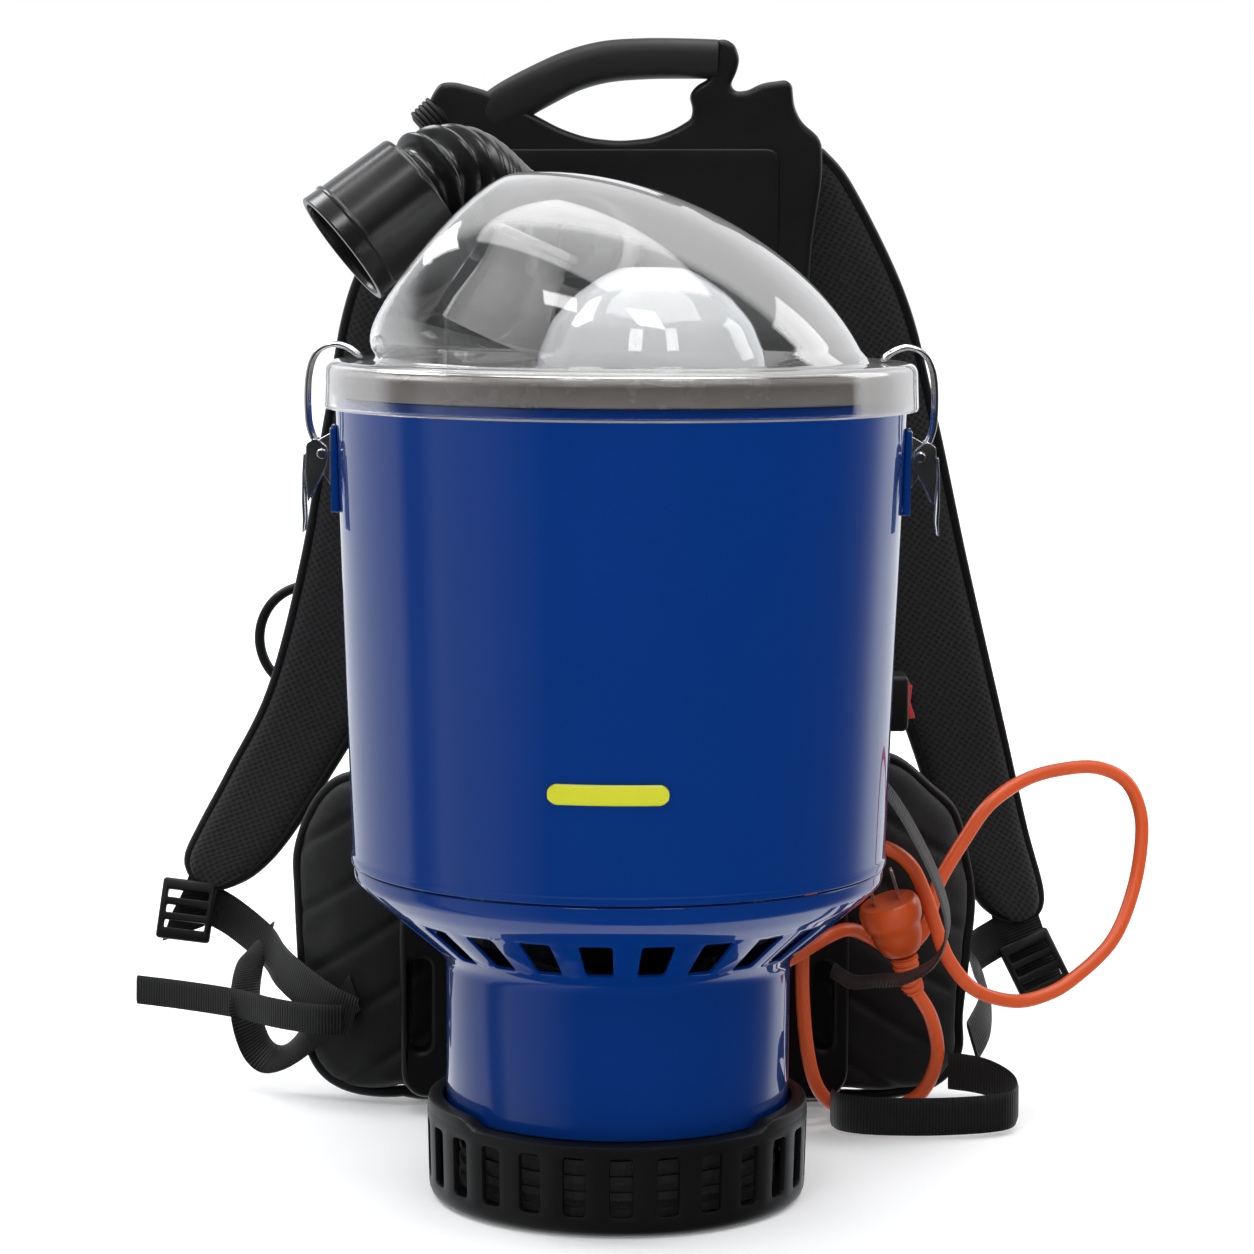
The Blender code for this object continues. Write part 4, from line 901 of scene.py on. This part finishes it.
def make_lid():
    """Dome, flange and skirt in one clear moulding, with a socket for the hose."""
    columns, rows = 144, 40
    rings = [[dome_point(radians(90 * i / rows), 2 * pi * k / columns) for k in range(columns)]
             for i in range(rows - 1, 1, -1)]
    flange = fillet([(DOME_R - 0.0002, DOME_BASE + 0.006), (DOME_R + 0.0006, RIM_TOP - 0.0004),
                     (RIM_R - 0.0008, RIM_TOP), (RIM_R, RIM_LOW + 0.001), (RIM_R - 0.0005, RIM_LOW)],
                    [0, 0.004, 0.0055, 0.0008, 0], 6)[1:]
    rings += [[Vector((x, y, z)) for x, y in circle(radius, columns)] for radius, z in flange]
    points = [p for ring in rings for p in ring] + [dome_point(pi / 2, 0.0)]
    faces = tube_faces(len(rings), columns)
    faces += [(len(points) - 1, (k + 1) % columns, k) for k in range(columns)]
    mesh = evaluated(outward(make_mesh("lid_clear", points, faces)), [shelled(0.0026)])
    hole = revolved("hole", [(0, -0.03), (PORT_R - 0.0028, -0.03), (PORT_R - 0.0028, 0.03), (0, 0.03)], 64,
                    PORT, PORT_AXIS)
    lid = piece("lid_clear", cut(mesh, hole), CLEAR, "lid", stands_for=["lid"], smooth=30)
    collar = fillet([(PORT_R - 0.003, -0.0075), (PORT_R, -0.006), (PORT_R, 0.0196), (PORT_R - 0.003, 0.0196)],
                    0.0008, 3, closed=True)
    sleeve = turned("lid_collar", collar, 72, CLEAR, PORT, PORT_AXIS, "lid")
    for made in (lid, sleeve):
        made.visible_shadow = False


def make_gasket():
    low = TANK_TOP_Z + 0.0003
    profile = fillet([(0.1335, RIM_TOP - LID_WALL - 0.0006), (RIM_R - 0.0062, RIM_TOP - LID_WALL - 0.0006),
                      (RIM_R - 0.0034, RIM_TOP - 0.0066), (RIM_R - 0.0034, low), (0.1335, low)], 0.0012, 4, closed=True)
    turned("rim_seal", profile, 160, SEAL, body="lid", stands_for=["lid_gasket"])


def make_inlet():
    """Hazy chute, wider towards the bag, and the hose's ribbed end inside the lid."""
    length = 0.051
    wall = fillet([(0.0275, -0.003), (0.0262, 0.008), (0.0222, 0.024), (0.0205, 0.033),
                   (0.0205, length - 0.0046), (0.0228, length - 0.0042), (0.0228, length), (0.0185, length),
                   (0.0185, 0.033), (0.0204, 0.024), (0.0244, 0.008), (0.0257, -0.003)], 0.0012, 4, closed=True)
    made = turned("inlet_chute", wall, 72, CLEAR_INNER, CHUTE_FOOT, CHUTE_AXIS, "lid", ["inlet_tube"])
    made.visible_shadow = False
    inner = PORT - PORT_AXIS * 0.001
    path = [inner - PORT_AXIS * (0.029 * i / 84) for i in range(85)]

    def section(i):
        return circle(0.015 + 0.0024 * (0.5 - 0.5 * cos(2 * pi * i / 12)), 40)

    mesh = evaluated(swept("inlet_spout", path, section, caps=False), [shelled(0.001, even_walls=False)])
    piece("inlet_spout", mesh, HOSE_BLACK, "lid", smooth=60)


def make_filter_dome():
    """Clear faceted cap over the motor's way in, on the bag plate."""
    low = TANK_TOP_Z + 0.0036
    profile = fillet([(0.0005, 0.455), (0.015, 0.4548), (0.024, 0.4505), (0.037, 0.4415), (0.048, 0.429),
                      (0.0545, 0.413), (0.056, 0.399), (0.0575, low)], 0.004, 5)
    mesh = evaluated(revolved("filter_cap", profile, 96, (*FILTER_CENTRE, 0)), [shelled(0.0018)])
    cap = piece("filter_cap", mesh, CLEAR_CAP, "carrier", stands_for=["filter_dome"])
    cap.visible_shadow = False


def hose_path():
    start = PORT + PORT_AXIS * 0.0269
    plug_in = HOSE_END - CUFF_AXIS * 0.007
    leave = start + PORT_AXIS * 0.004
    first = bezier(leave, leave + PORT_AXIS * 0.0226, HOSE_CREST - HOSE_CREST_WAY * 0.0278, HOSE_CREST)
    second = bezier(HOSE_CREST, HOSE_CREST + HOSE_CREST_WAY * 0.0198, plug_in - CUFF_AXIS * 0.0334, plug_in)
    return [start, *first, *second[1:], HOSE_END]


def make_hose():
    """Thin rings that fan out on the outside of the bend and close up inside it."""
    rings, per_ring = 21, 14
    count = rings * per_ring
    path = even(hose_path(), count)

    def section(i):
        wave = 0.5 - 0.5 * cos(2 * pi * i / per_ring)
        grow = min(1.0, i / (4 * per_ring), (count - i) / per_ring)
        return circle(0.019 + (0.0028 + 0.005 * grow) * wave ** 1.5, 48)

    mesh = swept("hose_rings", path, section, caps=False)
    mesh = evaluated(mesh, [shelled(0.0012, even_walls=False)])
    piece("hose_rings", mesh, HOSE_BLACK, "lid", stands_for=["hose_corrugated"], smooth=60)
    ring = fillet(mm((16.2, 5.8), (28.8, 5.8), (29, 0.2), (16.2, 0.2)), 0.0012, 4, closed=True)
    turned("port_collar", ring, 72, BLACK, PORT + PORT_AXIS * 0.0203, PORT_AXIS, "lid", ["port_ring"])


def make_cuff():
    outline = mm((22.2, -9.8), (28, -10), (28.8, -8.6), (30.2, 29.8), (31.3, 30.2), (31.3, 31.8), (30.4, 32.2),
                 (31, 40.8), (27.6, 41), (27, 38.5), (26.2, 8.5), (21.2, 6))
    rounds, = mm((0.8, 2.2, 2, 0.4, 0.6, 0.6, 0.4, 1, 0.8, 0.8, 1.5, 1))
    foot = HOSE_END - CUFF_AXIS * 0.005
    turned("cuff_shell", fillet(outline, rounds, 4, closed=True), 128, GLOSS_BLACK, foot, CUFF_AXIS, "hose_cuff",
           ["hose_cuff"])


# Latches


def make_latches():
    for side, name in ((-1, "left"), (1, "right")):
        half = 0.0058
        leg = [(BAIL_X, BAIL_Z), (0.1512, 0.38), (0.1512, 0.4), (0.1475, 0.412), (0.1395, 0.4165),
               (0.132, 0.415), (0.1268, 0.4112)]
        out = catmull([(side * x, -half, z) for x, z in leg], 8)
        back = catmull([(side * x, half, z) for x, z in leg[::-1]], 8)
        ends = [Vector((side * BAIL_X, y, BAIL_Z)) for y in (-0.0086, 0.0086)]
        tip = out[-1]
        arc = [Vector((tip.x - side * 0.0008 * cos(t), half * sin(t), tip.z - 0.0004 * cos(t)))
               for t in (-1.0, -0.5, 0.0, 0.5, 1.0)]
        path = even([ends[0], *out, *arc, *back, ends[1]], 150)
        mesh = swept("bail", path, lambda i: circle(0.0013, 14))
        piece(f"bail_wire_{name}", mesh, CHROME, f"bail_{name}", stands_for=[f"latch_bail_{name}"], smooth=60)
        make_lever(side, name)
        softened(f"latch_plate_{name}", BLUE, 0.0008)
        rivet = fillet(mm(
            (0, 13.2), (2.2, 13), (2.6, 12), (1.6, 11.2), (1.6, -11.2), (2.6, -12), (2.2, -13), (0, -13.2)
        ), 0.0005, 3)
        turned(f"latch_rivet_{name}", rivet, 24, CHROME, (side * LATCH_X, 0, LATCH_Z), (0, 1, 0),
               stands_for=[f"latch_pin_{name}"], closed=False)


def plate_mesh(name, outline, side, middle_y, half_y, bevel=0.0003):
    """A plate drawn as (x, z) from the rivet, outwards positive, and extruded along y."""
    data = [(side * (LATCH_X + x), LATCH_Z + z) for x, z in outline]
    return flat_shape(name, [data], half_y * 2, middle_y, bevel, 2)


def make_lever(side, name):
    """Pressed lever: two cheeks, a tapering blade with a turned-out tip, and a bracket between the cheeks."""
    cheek = fillet(mm(
        (7.8, 4.6), (3.6, 7.4), (0.4, 5.2), (-2.4, 2.8), (-3, -1), (-1.6, -7), (4, -17.2), (7, -24), (8.2, -10)
    ), 0.0016, 4,
                   closed=True)
    blade = mm(
        (8.4, -0.6), (9, -10), (8.8, -23), (8.4, -32), (9.2, -38.2), (9.8, -38.4), (9.6, -32), (10, -23),
        (9.8, -10), (9.2, -0.4))
    parts = [plate_mesh("cheek", [(p.x, p.y) for p in cheek], side, y, 0.00055) for y in (-0.0082, 0.0082)]
    parts.append(plate_mesh("blade", blade, side, 0.0, 0.0087, 0.0004))
    piece(f"lever_press_{name}", merged(parts), CHROME, f"lever_{name}", stands_for=[f"latch_lever_{name}"])
    ear = fillet(mm((3.4, 5.6), (-4.4, 10), (-4.4, -14.8), (-3, -14.8), (3.4, -5)),
                 0.0014, 4, closed=True)
    back = mm((-4.6, 12.2), (-3.8, 12.2), (-3.8, -14.8), (-4.6, -14.8))
    parts = [plate_mesh("ear", [(p.x, p.y) for p in ear], side, y, 0.0005) for y in (-0.0034, 0.0034)]
    parts.append(plate_mesh("back", back, side, 0.0, 0.011, 0.0003))
    piece(f"bracket_press_{name}", merged(parts), CHROME, stands_for=[f"latch_bracket_{name}"])


def merged(meshes):
    made = bpy.data.meshes.new(meshes[0].name)
    return edited(made, *[lambda work, mesh=mesh: work.from_mesh(mesh) for mesh in meshes])


# Frame and handle


def frame_loop():
    upright = mm((48, 570.5), (53, 570.8), (57.7, 568), (60.2, 561), (58.9, 554.5), (55.6, 547.5))
    dip = mm((58, 544), (64.2, 544.3), (71.9, 548.4), (84.4, 550.1), (87.6, 547.5))
    right = mm(
        (88.7, 536.2), (93, 527.9), (103.5, 519.7), (103.7, 499.5), (98.9, 466.8), (96.5, 430), (95, 220),
        (105, 170), (119, 135), (123, 100), (123, 20), (115, 9.5))
    left = mm(
        (-108, 9.5), (-115.8, 18), (-117, 100), (-114, 135), (-103, 170), (-95, 220), (-96.5, 430), (-100, 470),
        (-106, 500), (-108.2, 519), (-104, 530), (-99.8, 541.2), (-95.7, 547.5), (-88, 548), (-70.5, 543.5))
    seam = mm(
        (-46.8, 531.5), (-32.6, 524.1), (-18.5, 519.5), (-1.8, 518), (14.9, 519.7), (26.8, 524.4), (35.1, 529.6),
        (36.1, 534.8), (34, 542), (38.1, 547.2), (44, 550))
    return upright + dip + right + left + seam


def slot_loop(x, low, high, radius):
    loop = []
    for middle, first in ((high - radius, 0), (low + radius, 180)):
        for i in range(9):
            angle = radians(first + 22.5 * i)
            loop.append((x + radius * cos(angle), middle + radius * sin(angle)))
    return loop


def make_frame():
    middle = FRAME_Y + FRAME_THICK / 2
    outline = [(p.x, p.y) for p in fillet([(x, z) for x, z in frame_loop()], 0.006, 4, closed=True)]
    holes = [slot_loop(-0.1055, 0.0346, 0.085, 0.0052), slot_loop(0.1095, 0.037, 0.085, 0.0052)]
    mesh = flat_shape("frame_plate", [outline, *holes], FRAME_THICK, middle, 0.0035, 5)
    piece("frame_plate", mesh, FRAME_BLACK, stands_for=["back_frame"], smooth=40)
    panel = fillet(mm((-80, 513.5), (81.5, 514.5), (81.5, 400), (-80, 400)), 0.008, 6, closed=True)
    mesh = flat_shape("frame_panel", [[(p.x, p.y) for p in panel]], 0.004, FRAME_Y + 0.0004, 0.0012, 3)
    piece("frame_panel", mesh, FRAME_BLACK, smooth=40)
    make_grip(middle)


def make_grip(middle_y):
    """Rounded overmould on the handle, thinning out into the plate at its left end."""
    stations = mm(
        (-76, 526, 10, 6.8), (-68, 531.8, 11.2, 7.9), (-58, 538.4, 11.6, 9.5), (-43, 546.6, 11.3, 11.3),
        (-26.7, 554.3, 10.9, 12), (-9.4, 559, 10.8, 12), (11.5, 560.7, 10.6, 12), (33, 560.9, 10.4, 11.9),
        (48.8, 560.6, 10.2, 11.6))
    path = catmull([(x, middle_y, z) for x, z, _, _ in stations], 10)
    sizes = catmull([(half, deep, 0) for _, _, half, deep in stations], 10)
    sides, points = 40, []
    for i, point in enumerate(path):
        way = (path[min(i + 1, len(path) - 1)] - path[max(i - 1, 0)]).normalized()
        up = Vector((-way.z, 0, way.x))
        for k in range(sides):
            c, d = cos(2 * pi * k / sides), sin(2 * pi * k / sides)
            across = copysign(abs(c) ** 0.72, c) * sizes[i].x
            deep = copysign(abs(d) ** 0.72, d) * sizes[i].y
            points.append(point + up * across + Vector((0, deep, 0)))
    mesh = outward(make_mesh("grip_cover", points, tube_faces(len(path), sides, caps=True)))
    mesh = evaluated(mesh, [rounded(0.0012, 3, 60)])
    piece("grip_cover", mesh, GRIP_BLACK, stands_for=["handle_grip"], smooth=50)
    knob = mm((0, 7.5), (7, 7.5), (8.2, 6.6))
    for i in range(5):
        low = 0.0058 - 0.0026 * i
        knob += [(0.0104, low), (0.0104, low - 0.0015), (0.0092, low - 0.0019)]
    knob += [(0.007, -0.0078), (0, -0.0078)]
    turned("frame_knob", fillet(knob, 0.0004, 2), 40, GRIP_BLACK, (-0.0995, 0.157, 0.5285), (0.72, 0.0, 0.69),
           closed=False, smooth=40)


# Harness


def puff(mesh, voxel):
    """The mesh as stuffed fabric: remeshed, blown up by cloth, with each point's move kept under PUFF_CAP."""
    mesh = evaluated(mesh, [("REMESH", {"mode": "VOXEL", "voxel_size": voxel})])
    before = np.array([v.co for v in mesh.vertices])
    thing = linked("puff", mesh)
    cloth = thing.modifiers.new("cloth", "CLOTH")
    cloth.settings.use_pressure = True
    cloth.settings.uniform_pressure_force = PUFF_PRESSURE
    cloth.settings.effector_weights.gravity = 0
    cloth.settings.tension_stiffness = PUFF_TENSION
    scene = bpy.context.scene
    for number in range(1, PUFF_FRAMES + 1):
        scene.frame_set(number)
    graph = bpy.context.evaluated_depsgraph_get()
    made = bpy.data.meshes.new_from_object(thing.evaluated_get(graph))
    bpy.data.objects.remove(thing)
    scene.frame_set(1)
    after = np.array([v.co for v in made.vertices])
    move = after - before
    size = np.linalg.norm(move, axis=1, keepdims=True)
    kept = before + move * np.minimum(1.0, PUFF_CAP / np.maximum(size, 1e-9))
    made.vertices.foreach_set("co", kept.astype(np.float32).ravel())
    made.update()
    return made


def lowered(mesh, depth_at):
    """Moves each point along its normal by -depth_at(point)."""
    mesh.update()
    points = [(v.co.copy(), v.normal.copy()) for v in mesh.vertices]
    for vertex, (co, normal) in zip(mesh.vertices, points):
        vertex.co = co - normal * depth_at(co, normal)
    return mesh


def groove(distance, width):
    return exp(-((distance / width) ** 2))


def piping(name, path, radius, finish):
    return piece(name, swept(name, path, lambda i: circle(radius, 10), closed=True), finish, smooth=60)


def pad_back(x, side):
    """How far a hip pad leans towards the wearer at x."""
    out = max(0.0, side * x - 0.125)
    return 5.0 * out * out + 0.1 * out


def make_hip_pad(name, loop, side):
    """A quilted wing: bound edge and slanting stitched rows."""
    centre = Vector((sum(x for x, _ in loop) / len(loop), sum(z for _, z in loop) / len(loop)))
    slim = [(centre.x + (x - centre.x) * 0.985, centre.y + (z - centre.y) * 0.988) for x, z in loop]
    mesh = flat_shape(name, [slim], 0.018, 0.186, 0.008, 4, smooth=3)
    mesh = puff(mesh, 0.0042)
    mesh = evaluated(mesh, [("SUBSURF", {"levels": 1, "render_levels": 1})])

    def quilt(co, normal):
        slant = (co.x * side * 0.55 + co.z * 0.83) / 0.03
        row = abs(slant - round(slant)) * 0.03
        return 0.0022 * groove(row, 0.0024) * abs(normal.y) + 0.0006 * noise.noise(co * 60)

    lowered(mesh, quilt)
    for vertex in mesh.vertices:
        vertex.co.y += pad_back(vertex.co.x, side)
    made = piece(f"{name}_quilted", mesh, NYLON, stands_for=[name], smooth=80)
    edge = catmull([(x, 0.186, z) for x, z in slim], 6, closed=True)
    edge = [Vector((p.x, p.y + pad_back(p.x, side), max(p.z, HOLD_OFF_FLOOR))) for p in edge]
    piping(f"{name}_binding", even(edge + [edge[0]], 180)[:-1], 0.0032, WEB)


def make_pads():
    for node, size, centre, rows in (
        ("back_pad", (0.144, 0.014, 0.264), (0, 0.1765, 0.315), 5),
        ("lumbar_pad", (0.174, 0.019, 0.134), (0, 0.1795, 0.09), 3),
    ):
        mesh = puff(brick(node, size, centre, 0.0055), 0.0045)
        mesh = evaluated(mesh, [("SUBSURF", {"levels": 1, "render_levels": 1})])
        low, tall = centre[2] - size[2] / 2, size[2]

        def channels(co, normal, low=low, tall=tall, rows=rows):
            place = (co.z - low) / tall * rows
            row = abs(place - round(place)) * tall / rows
            inner = 0.0 if place < 0.5 or place > rows - 0.5 else 1.0
            return 0.0026 * inner * groove(row, 0.0032) * abs(normal.y) + 0.0004 * noise.noise(co * 50)

        made = piece(f"{node}_cushion", lowered(mesh, channels), PAD_NET, stands_for=[node], smooth=80)
        half = (size[0] / 2 + 0.001, size[2] / 2 + 0.001)
        corners = fillet([(-half[0], -half[1]), (half[0], -half[1]), (half[0], half[1]), (-half[0], half[1])],
                         0.012, 6, closed=True)
        path = [Vector((p.x, centre[1], centre[2] + p.y)) for p in corners]
        piping(f"{node}_binding", even(path + [path[0]], 140)[:-1], 0.0022, WEB)
    left = mm(
        (-92, 12), (-116.2, 4), (-148.9, 6), (-166.9, 20.9), (-171.7, 54.1), (-174.8, 109.3), (-174.7, 136.8),
        (-163.2, 164.2), (-145.9, 178), (-120, 175), (-92, 160))
    right = mm(
        (92, 12), (92, 160), (120, 185), (144.8, 190.2), (168.9, 171.2), (182.1, 157.1), (189, 133),
        (193.2, 108.8), (191.4, 82.9), (187.1, 44.2), (186.4, 21.4), (170, 6), (121.2, 3.2))
    make_hip_pad("hip_pad_left", left, -1)
    make_hip_pad("hip_pad_right", right, 1)


def ribbon(name, left, right, thick, finish, crown=0.0, stands_for=(), columns=10):
    """A band between two smooth edges, with (u, v) in metres across and along it."""
    count = len(left)
    middle = [(a + b) / 2 for a, b in zip(left, right)]
    points, coords, along = [], [], 0.0
    for i in range(count):
        way = (middle[min(i + 1, count - 1)] - middle[max(i - 1, 0)]).normalized()
        across = right[i] - left[i]
        normal = across.cross(way).normalized()
        along += (middle[i] - middle[i - 1]).length if i else 0.0
        for side in (1, -1):
            for k in range(columns + 1):
                share = k / columns if side > 0 else 1 - k / columns
                bow = (1 - (2 * share - 1) ** 4) * crown
                lift = side * (thick / 2 * (1 - abs(2 * share - 1) ** 10) + bow)
                points.append(left[i] + across * share + normal * lift)
                coords.append(((share - 0.5) * across.length, along))
    mesh = bpy.data.meshes.new(name)
    mesh.from_pydata([tuple(p) for p in points], [], tube_faces(count, 2 * (columns + 1), caps=True))
    layer = mesh.uv_layers.new(name="UVMap")
    for loop in mesh.loops:
        layer.data[loop.index].uv = coords[loop.vertex_index]
    return piece(name, edited(mesh, face_out), finish, stands_for=stands_for, smooth=60)


SHOULDER_RIGHT = mm(
    (52, 172.8, 510, 103.5, 172.8, 513), (64, 180, 486, 119.9, 181, 493.7), (89, 198, 428, 150, 201, 435.5),
    (106, 216, 366, 169, 220, 370.3), (125, 232, 290, 188, 239, 292.2), (158, 241, 205, 210.5, 251, 202.2),
    (181.5, 246, 140.1, 226, 261, 140), (199, 250, 106, 236, 262, 104), (208.5, 252.5, 95, 233.5, 261, 91.5),
    (217.5, 256, 90.5, 225.5, 259, 89.5))
SHOULDER_LEFT = mm(
    (-52, 172.8, 510, -103.5, 172.8, 511), (-62, 180, 486, -118, 181, 490), (-83, 198, 430, -144.5, 201, 437),
    (-98, 216, 366, -159, 219, 370), (-110, 231, 290, -173.5, 238, 292), (-138, 240, 215, -193.5, 251, 217.5),
    (-165, 245, 167, -217, 260, 170), (-188, 249, 132, -235.5, 262, 135), (-204, 251.5, 115, -242, 262, 119),
    (-217, 254.5, 107.5, -237.5, 260.5, 108.5), (-224.5, 257, 105, -231, 259, 105))


def make_shoulder_pads():
    """Padded straps: a crowned mesh face on both sides, a bound edge and a webbing strip down the back."""
    for name, rows in (("shoulder_pad_right", SHOULDER_RIGHT), ("shoulder_pad_left", SHOULDER_LEFT)):
        left = even(catmull([row[:3] for row in rows], 12), 110)
        right = even(catmull([row[3:] for row in rows], 12), 110)
        made = ribbon(f"{name}_face", left, right, 0.007, NET, 0.0025, [name], columns=18)
        inner, outer = ([a.lerp(b, share) for a, b in zip(left, right)] for share in (0.004, 0.996))
        loop = inner + outer[::-1]
        piping(f"{name}_binding", even(loop + [loop[0]], 420)[:-1], 0.003, WEB)
        way = (right[40] - left[40]).cross(left[41] - left[40]).normalized()
        back = (way if way.y > 0 else -way) * 0.0072
        a, b = ([p.lerp(q, share) + back for p, q in zip(left[3:-2], right[3:-2])] for share in (0.29, 0.71))
        ribbon(f"{name}_web", a, b, 0.0014, WEB, columns=6)


def band(name, centres, width, ways, stands_for=(), count=90):
    """Webbing of even width along a smooth route. ways gives its width's direction at each centre."""
    middle = even(catmull(centres, 10), count)
    across = catmull(ways, 10)
    left, right = [], []
    for i, point in enumerate(middle):
        half = across[round(i / count * (len(across) - 1))].normalized() * width / 2
        left.append(point - half)
        right.append(point + half)
    return ribbon(name, left, right, WEB_THICK, WEB, stands_for=stands_for, columns=8)


def make_webbing():
    thread = mm((-227, 259, 123), (-233, 259.2, 106), (-240, 259.2, 92), (-245, 259, 77))
    band("strap_thread_left", thread, 0.025, [(1.0, 0.1, 0.35)] * 4, count=30)
    thread = mm((219, 257.5, 102), (224, 257.8, 85), (232, 257.8, 64), (240, 257.5, 46))
    band("strap_thread_right", thread, 0.026, [(1.0, 0.1, 0.4)] * 4, count=30)
    fall = mm(
        (-198.5, 244, 80), (-203.5, 226, 69), (-205, 210, 56), (-204, 203, 42), (-198.5, 203, 25),
        (-190, 202, 18.5), (-179, 198, 23.5), (-165, 190, 38), (-150, 180, 54), (-142, 174, 62))
    turns = [(0.55, 0.3, 0.6), (0.75, 0.6, 0.2), (0.75, 0.65, 0.0), (0.75, 0.65, 0.0), (0.7, 0.6, 0.35),
             (0.45, 0.6, 0.65), (0.1, 0.5, 0.85), (-0.2, 0.3, 0.93), (-0.3, 0.2, 0.93), (-0.3, 0.2, 0.93)]
    band("webbing_fall_left", fall, 0.02, turns)
    left = mm(
        (-236, 262, 96), (-218, 256, 88), (-196, 234, 76), (-185, 204, 70), (-172, 182, 64), (-156, 168, 56),
        (-142, 164, 50))
    tail = mm((-148, 159, 50), (-162, 160, 50), (-185, 175, 50), (-210, 200, 50), (-240, 220, 50), (-268, 235, 50))
    right = mm((226, 262, 84), (212, 256, 78), (196, 238, 70), (202, 218, 60), (198.5, 180, 50), (190, 160, 40))
    floor = mm(
        (177, 156, 25), (195, 150, 23.5), (208, 140, 19), (211, 126, 15), (202, 112, 13.2), (170, 105, 12.2),
        (135, 106, 12), (118, 114, 12), (113, 126, 12))
    hold = mm(
        (129, 140, 190), (141, 124, 180), (153, 108, 162), (165, 96, 137), (170, 93, 115), (164, 92, 98),
        (149, 92, 88.5), (133, 96, 86), (122, 108, 83), (113, 134, 84))
    for name, centres, width, way, node in (
        ("strap_left", left, 0.022, (0.25, 0.1, 1.0), "webbing_left"),
        ("strap_tail_left", tail, 0.016, (0, 0.1, 1.0), "webbing_tail_left"),
        ("strap_right", right, 0.022, (-0.3, 0.1, 1.0), "webbing_right"),
        ("belt_loop", floor, 0.02, (0, 0.05, 1.0), "belt_loop_right"),
        ("lead_loop", hold, 0.02, (0.2, 1.0, 0.2), "cord_loop"),
    ):
        band(name, centres, width, [way] * len(centres), [node])


def make_trim():
    """A loose ring, and the CAD nodes that keep their shape, some with rounded edges."""
    loop = [Vector((-0.174 + 0.027 * x, 0.256, 0.245 + 0.029 * z)) for x, z in circle(1.0, 72)]
    piece("strap_ring_left", swept("strap_ring", loop, lambda i: circle(0.0028, 14), closed=True), BLACK, smooth=60)
    for node, finish, bevel, segments in (
        ("strap_buckle_left", BLACK, 0.0008, 3), ("strap_buckle_right", BLACK, 0.0008, 3),
        ("switch_housing", BLACK, 0.001, 3), ("switch_rocker", RED, 0.0006, 3),
        ("tank_bracket_upper", STEEL, 0.0008, 2), ("tank_bracket_lower", STEEL, 0.0008, 2),
    ):
        softened(node, finish, bevel, segments)
    for finish, nodes in (
        (CLEAR_INNER, ["bag_plate"]), (BAG_CLOTH, ["dust_bag"]), (FELT, ["exhaust_filter", "motor_filter"]),
        # The motor deck and fan shroud take the steel darkened as painted shade.
        (SHADE_DARKENED_STEEL, ["motor_deck", "fan_shroud"]), (HOSE_BLACK, ["motor_gasket", "motor_mount"]),
        (STEEL, ["motor_shell", "bearing_upper", "bearing_lower", "rotor_shaft"]),
        (ALUMINIUM, ["impeller"]), (COPPER, ["armature"]),
    ):
        for node in nodes:
            dress(node, finish)


make_cord()
make_gland()
make_base()
make_housing()
make_tank()
make_badge()
make_lid()
make_gasket()
make_inlet()
make_filter_dome()
make_hose()
make_cuff()
make_latches()
make_frame()
make_pads()
make_shoulder_pads()
make_webbing()
make_trim()
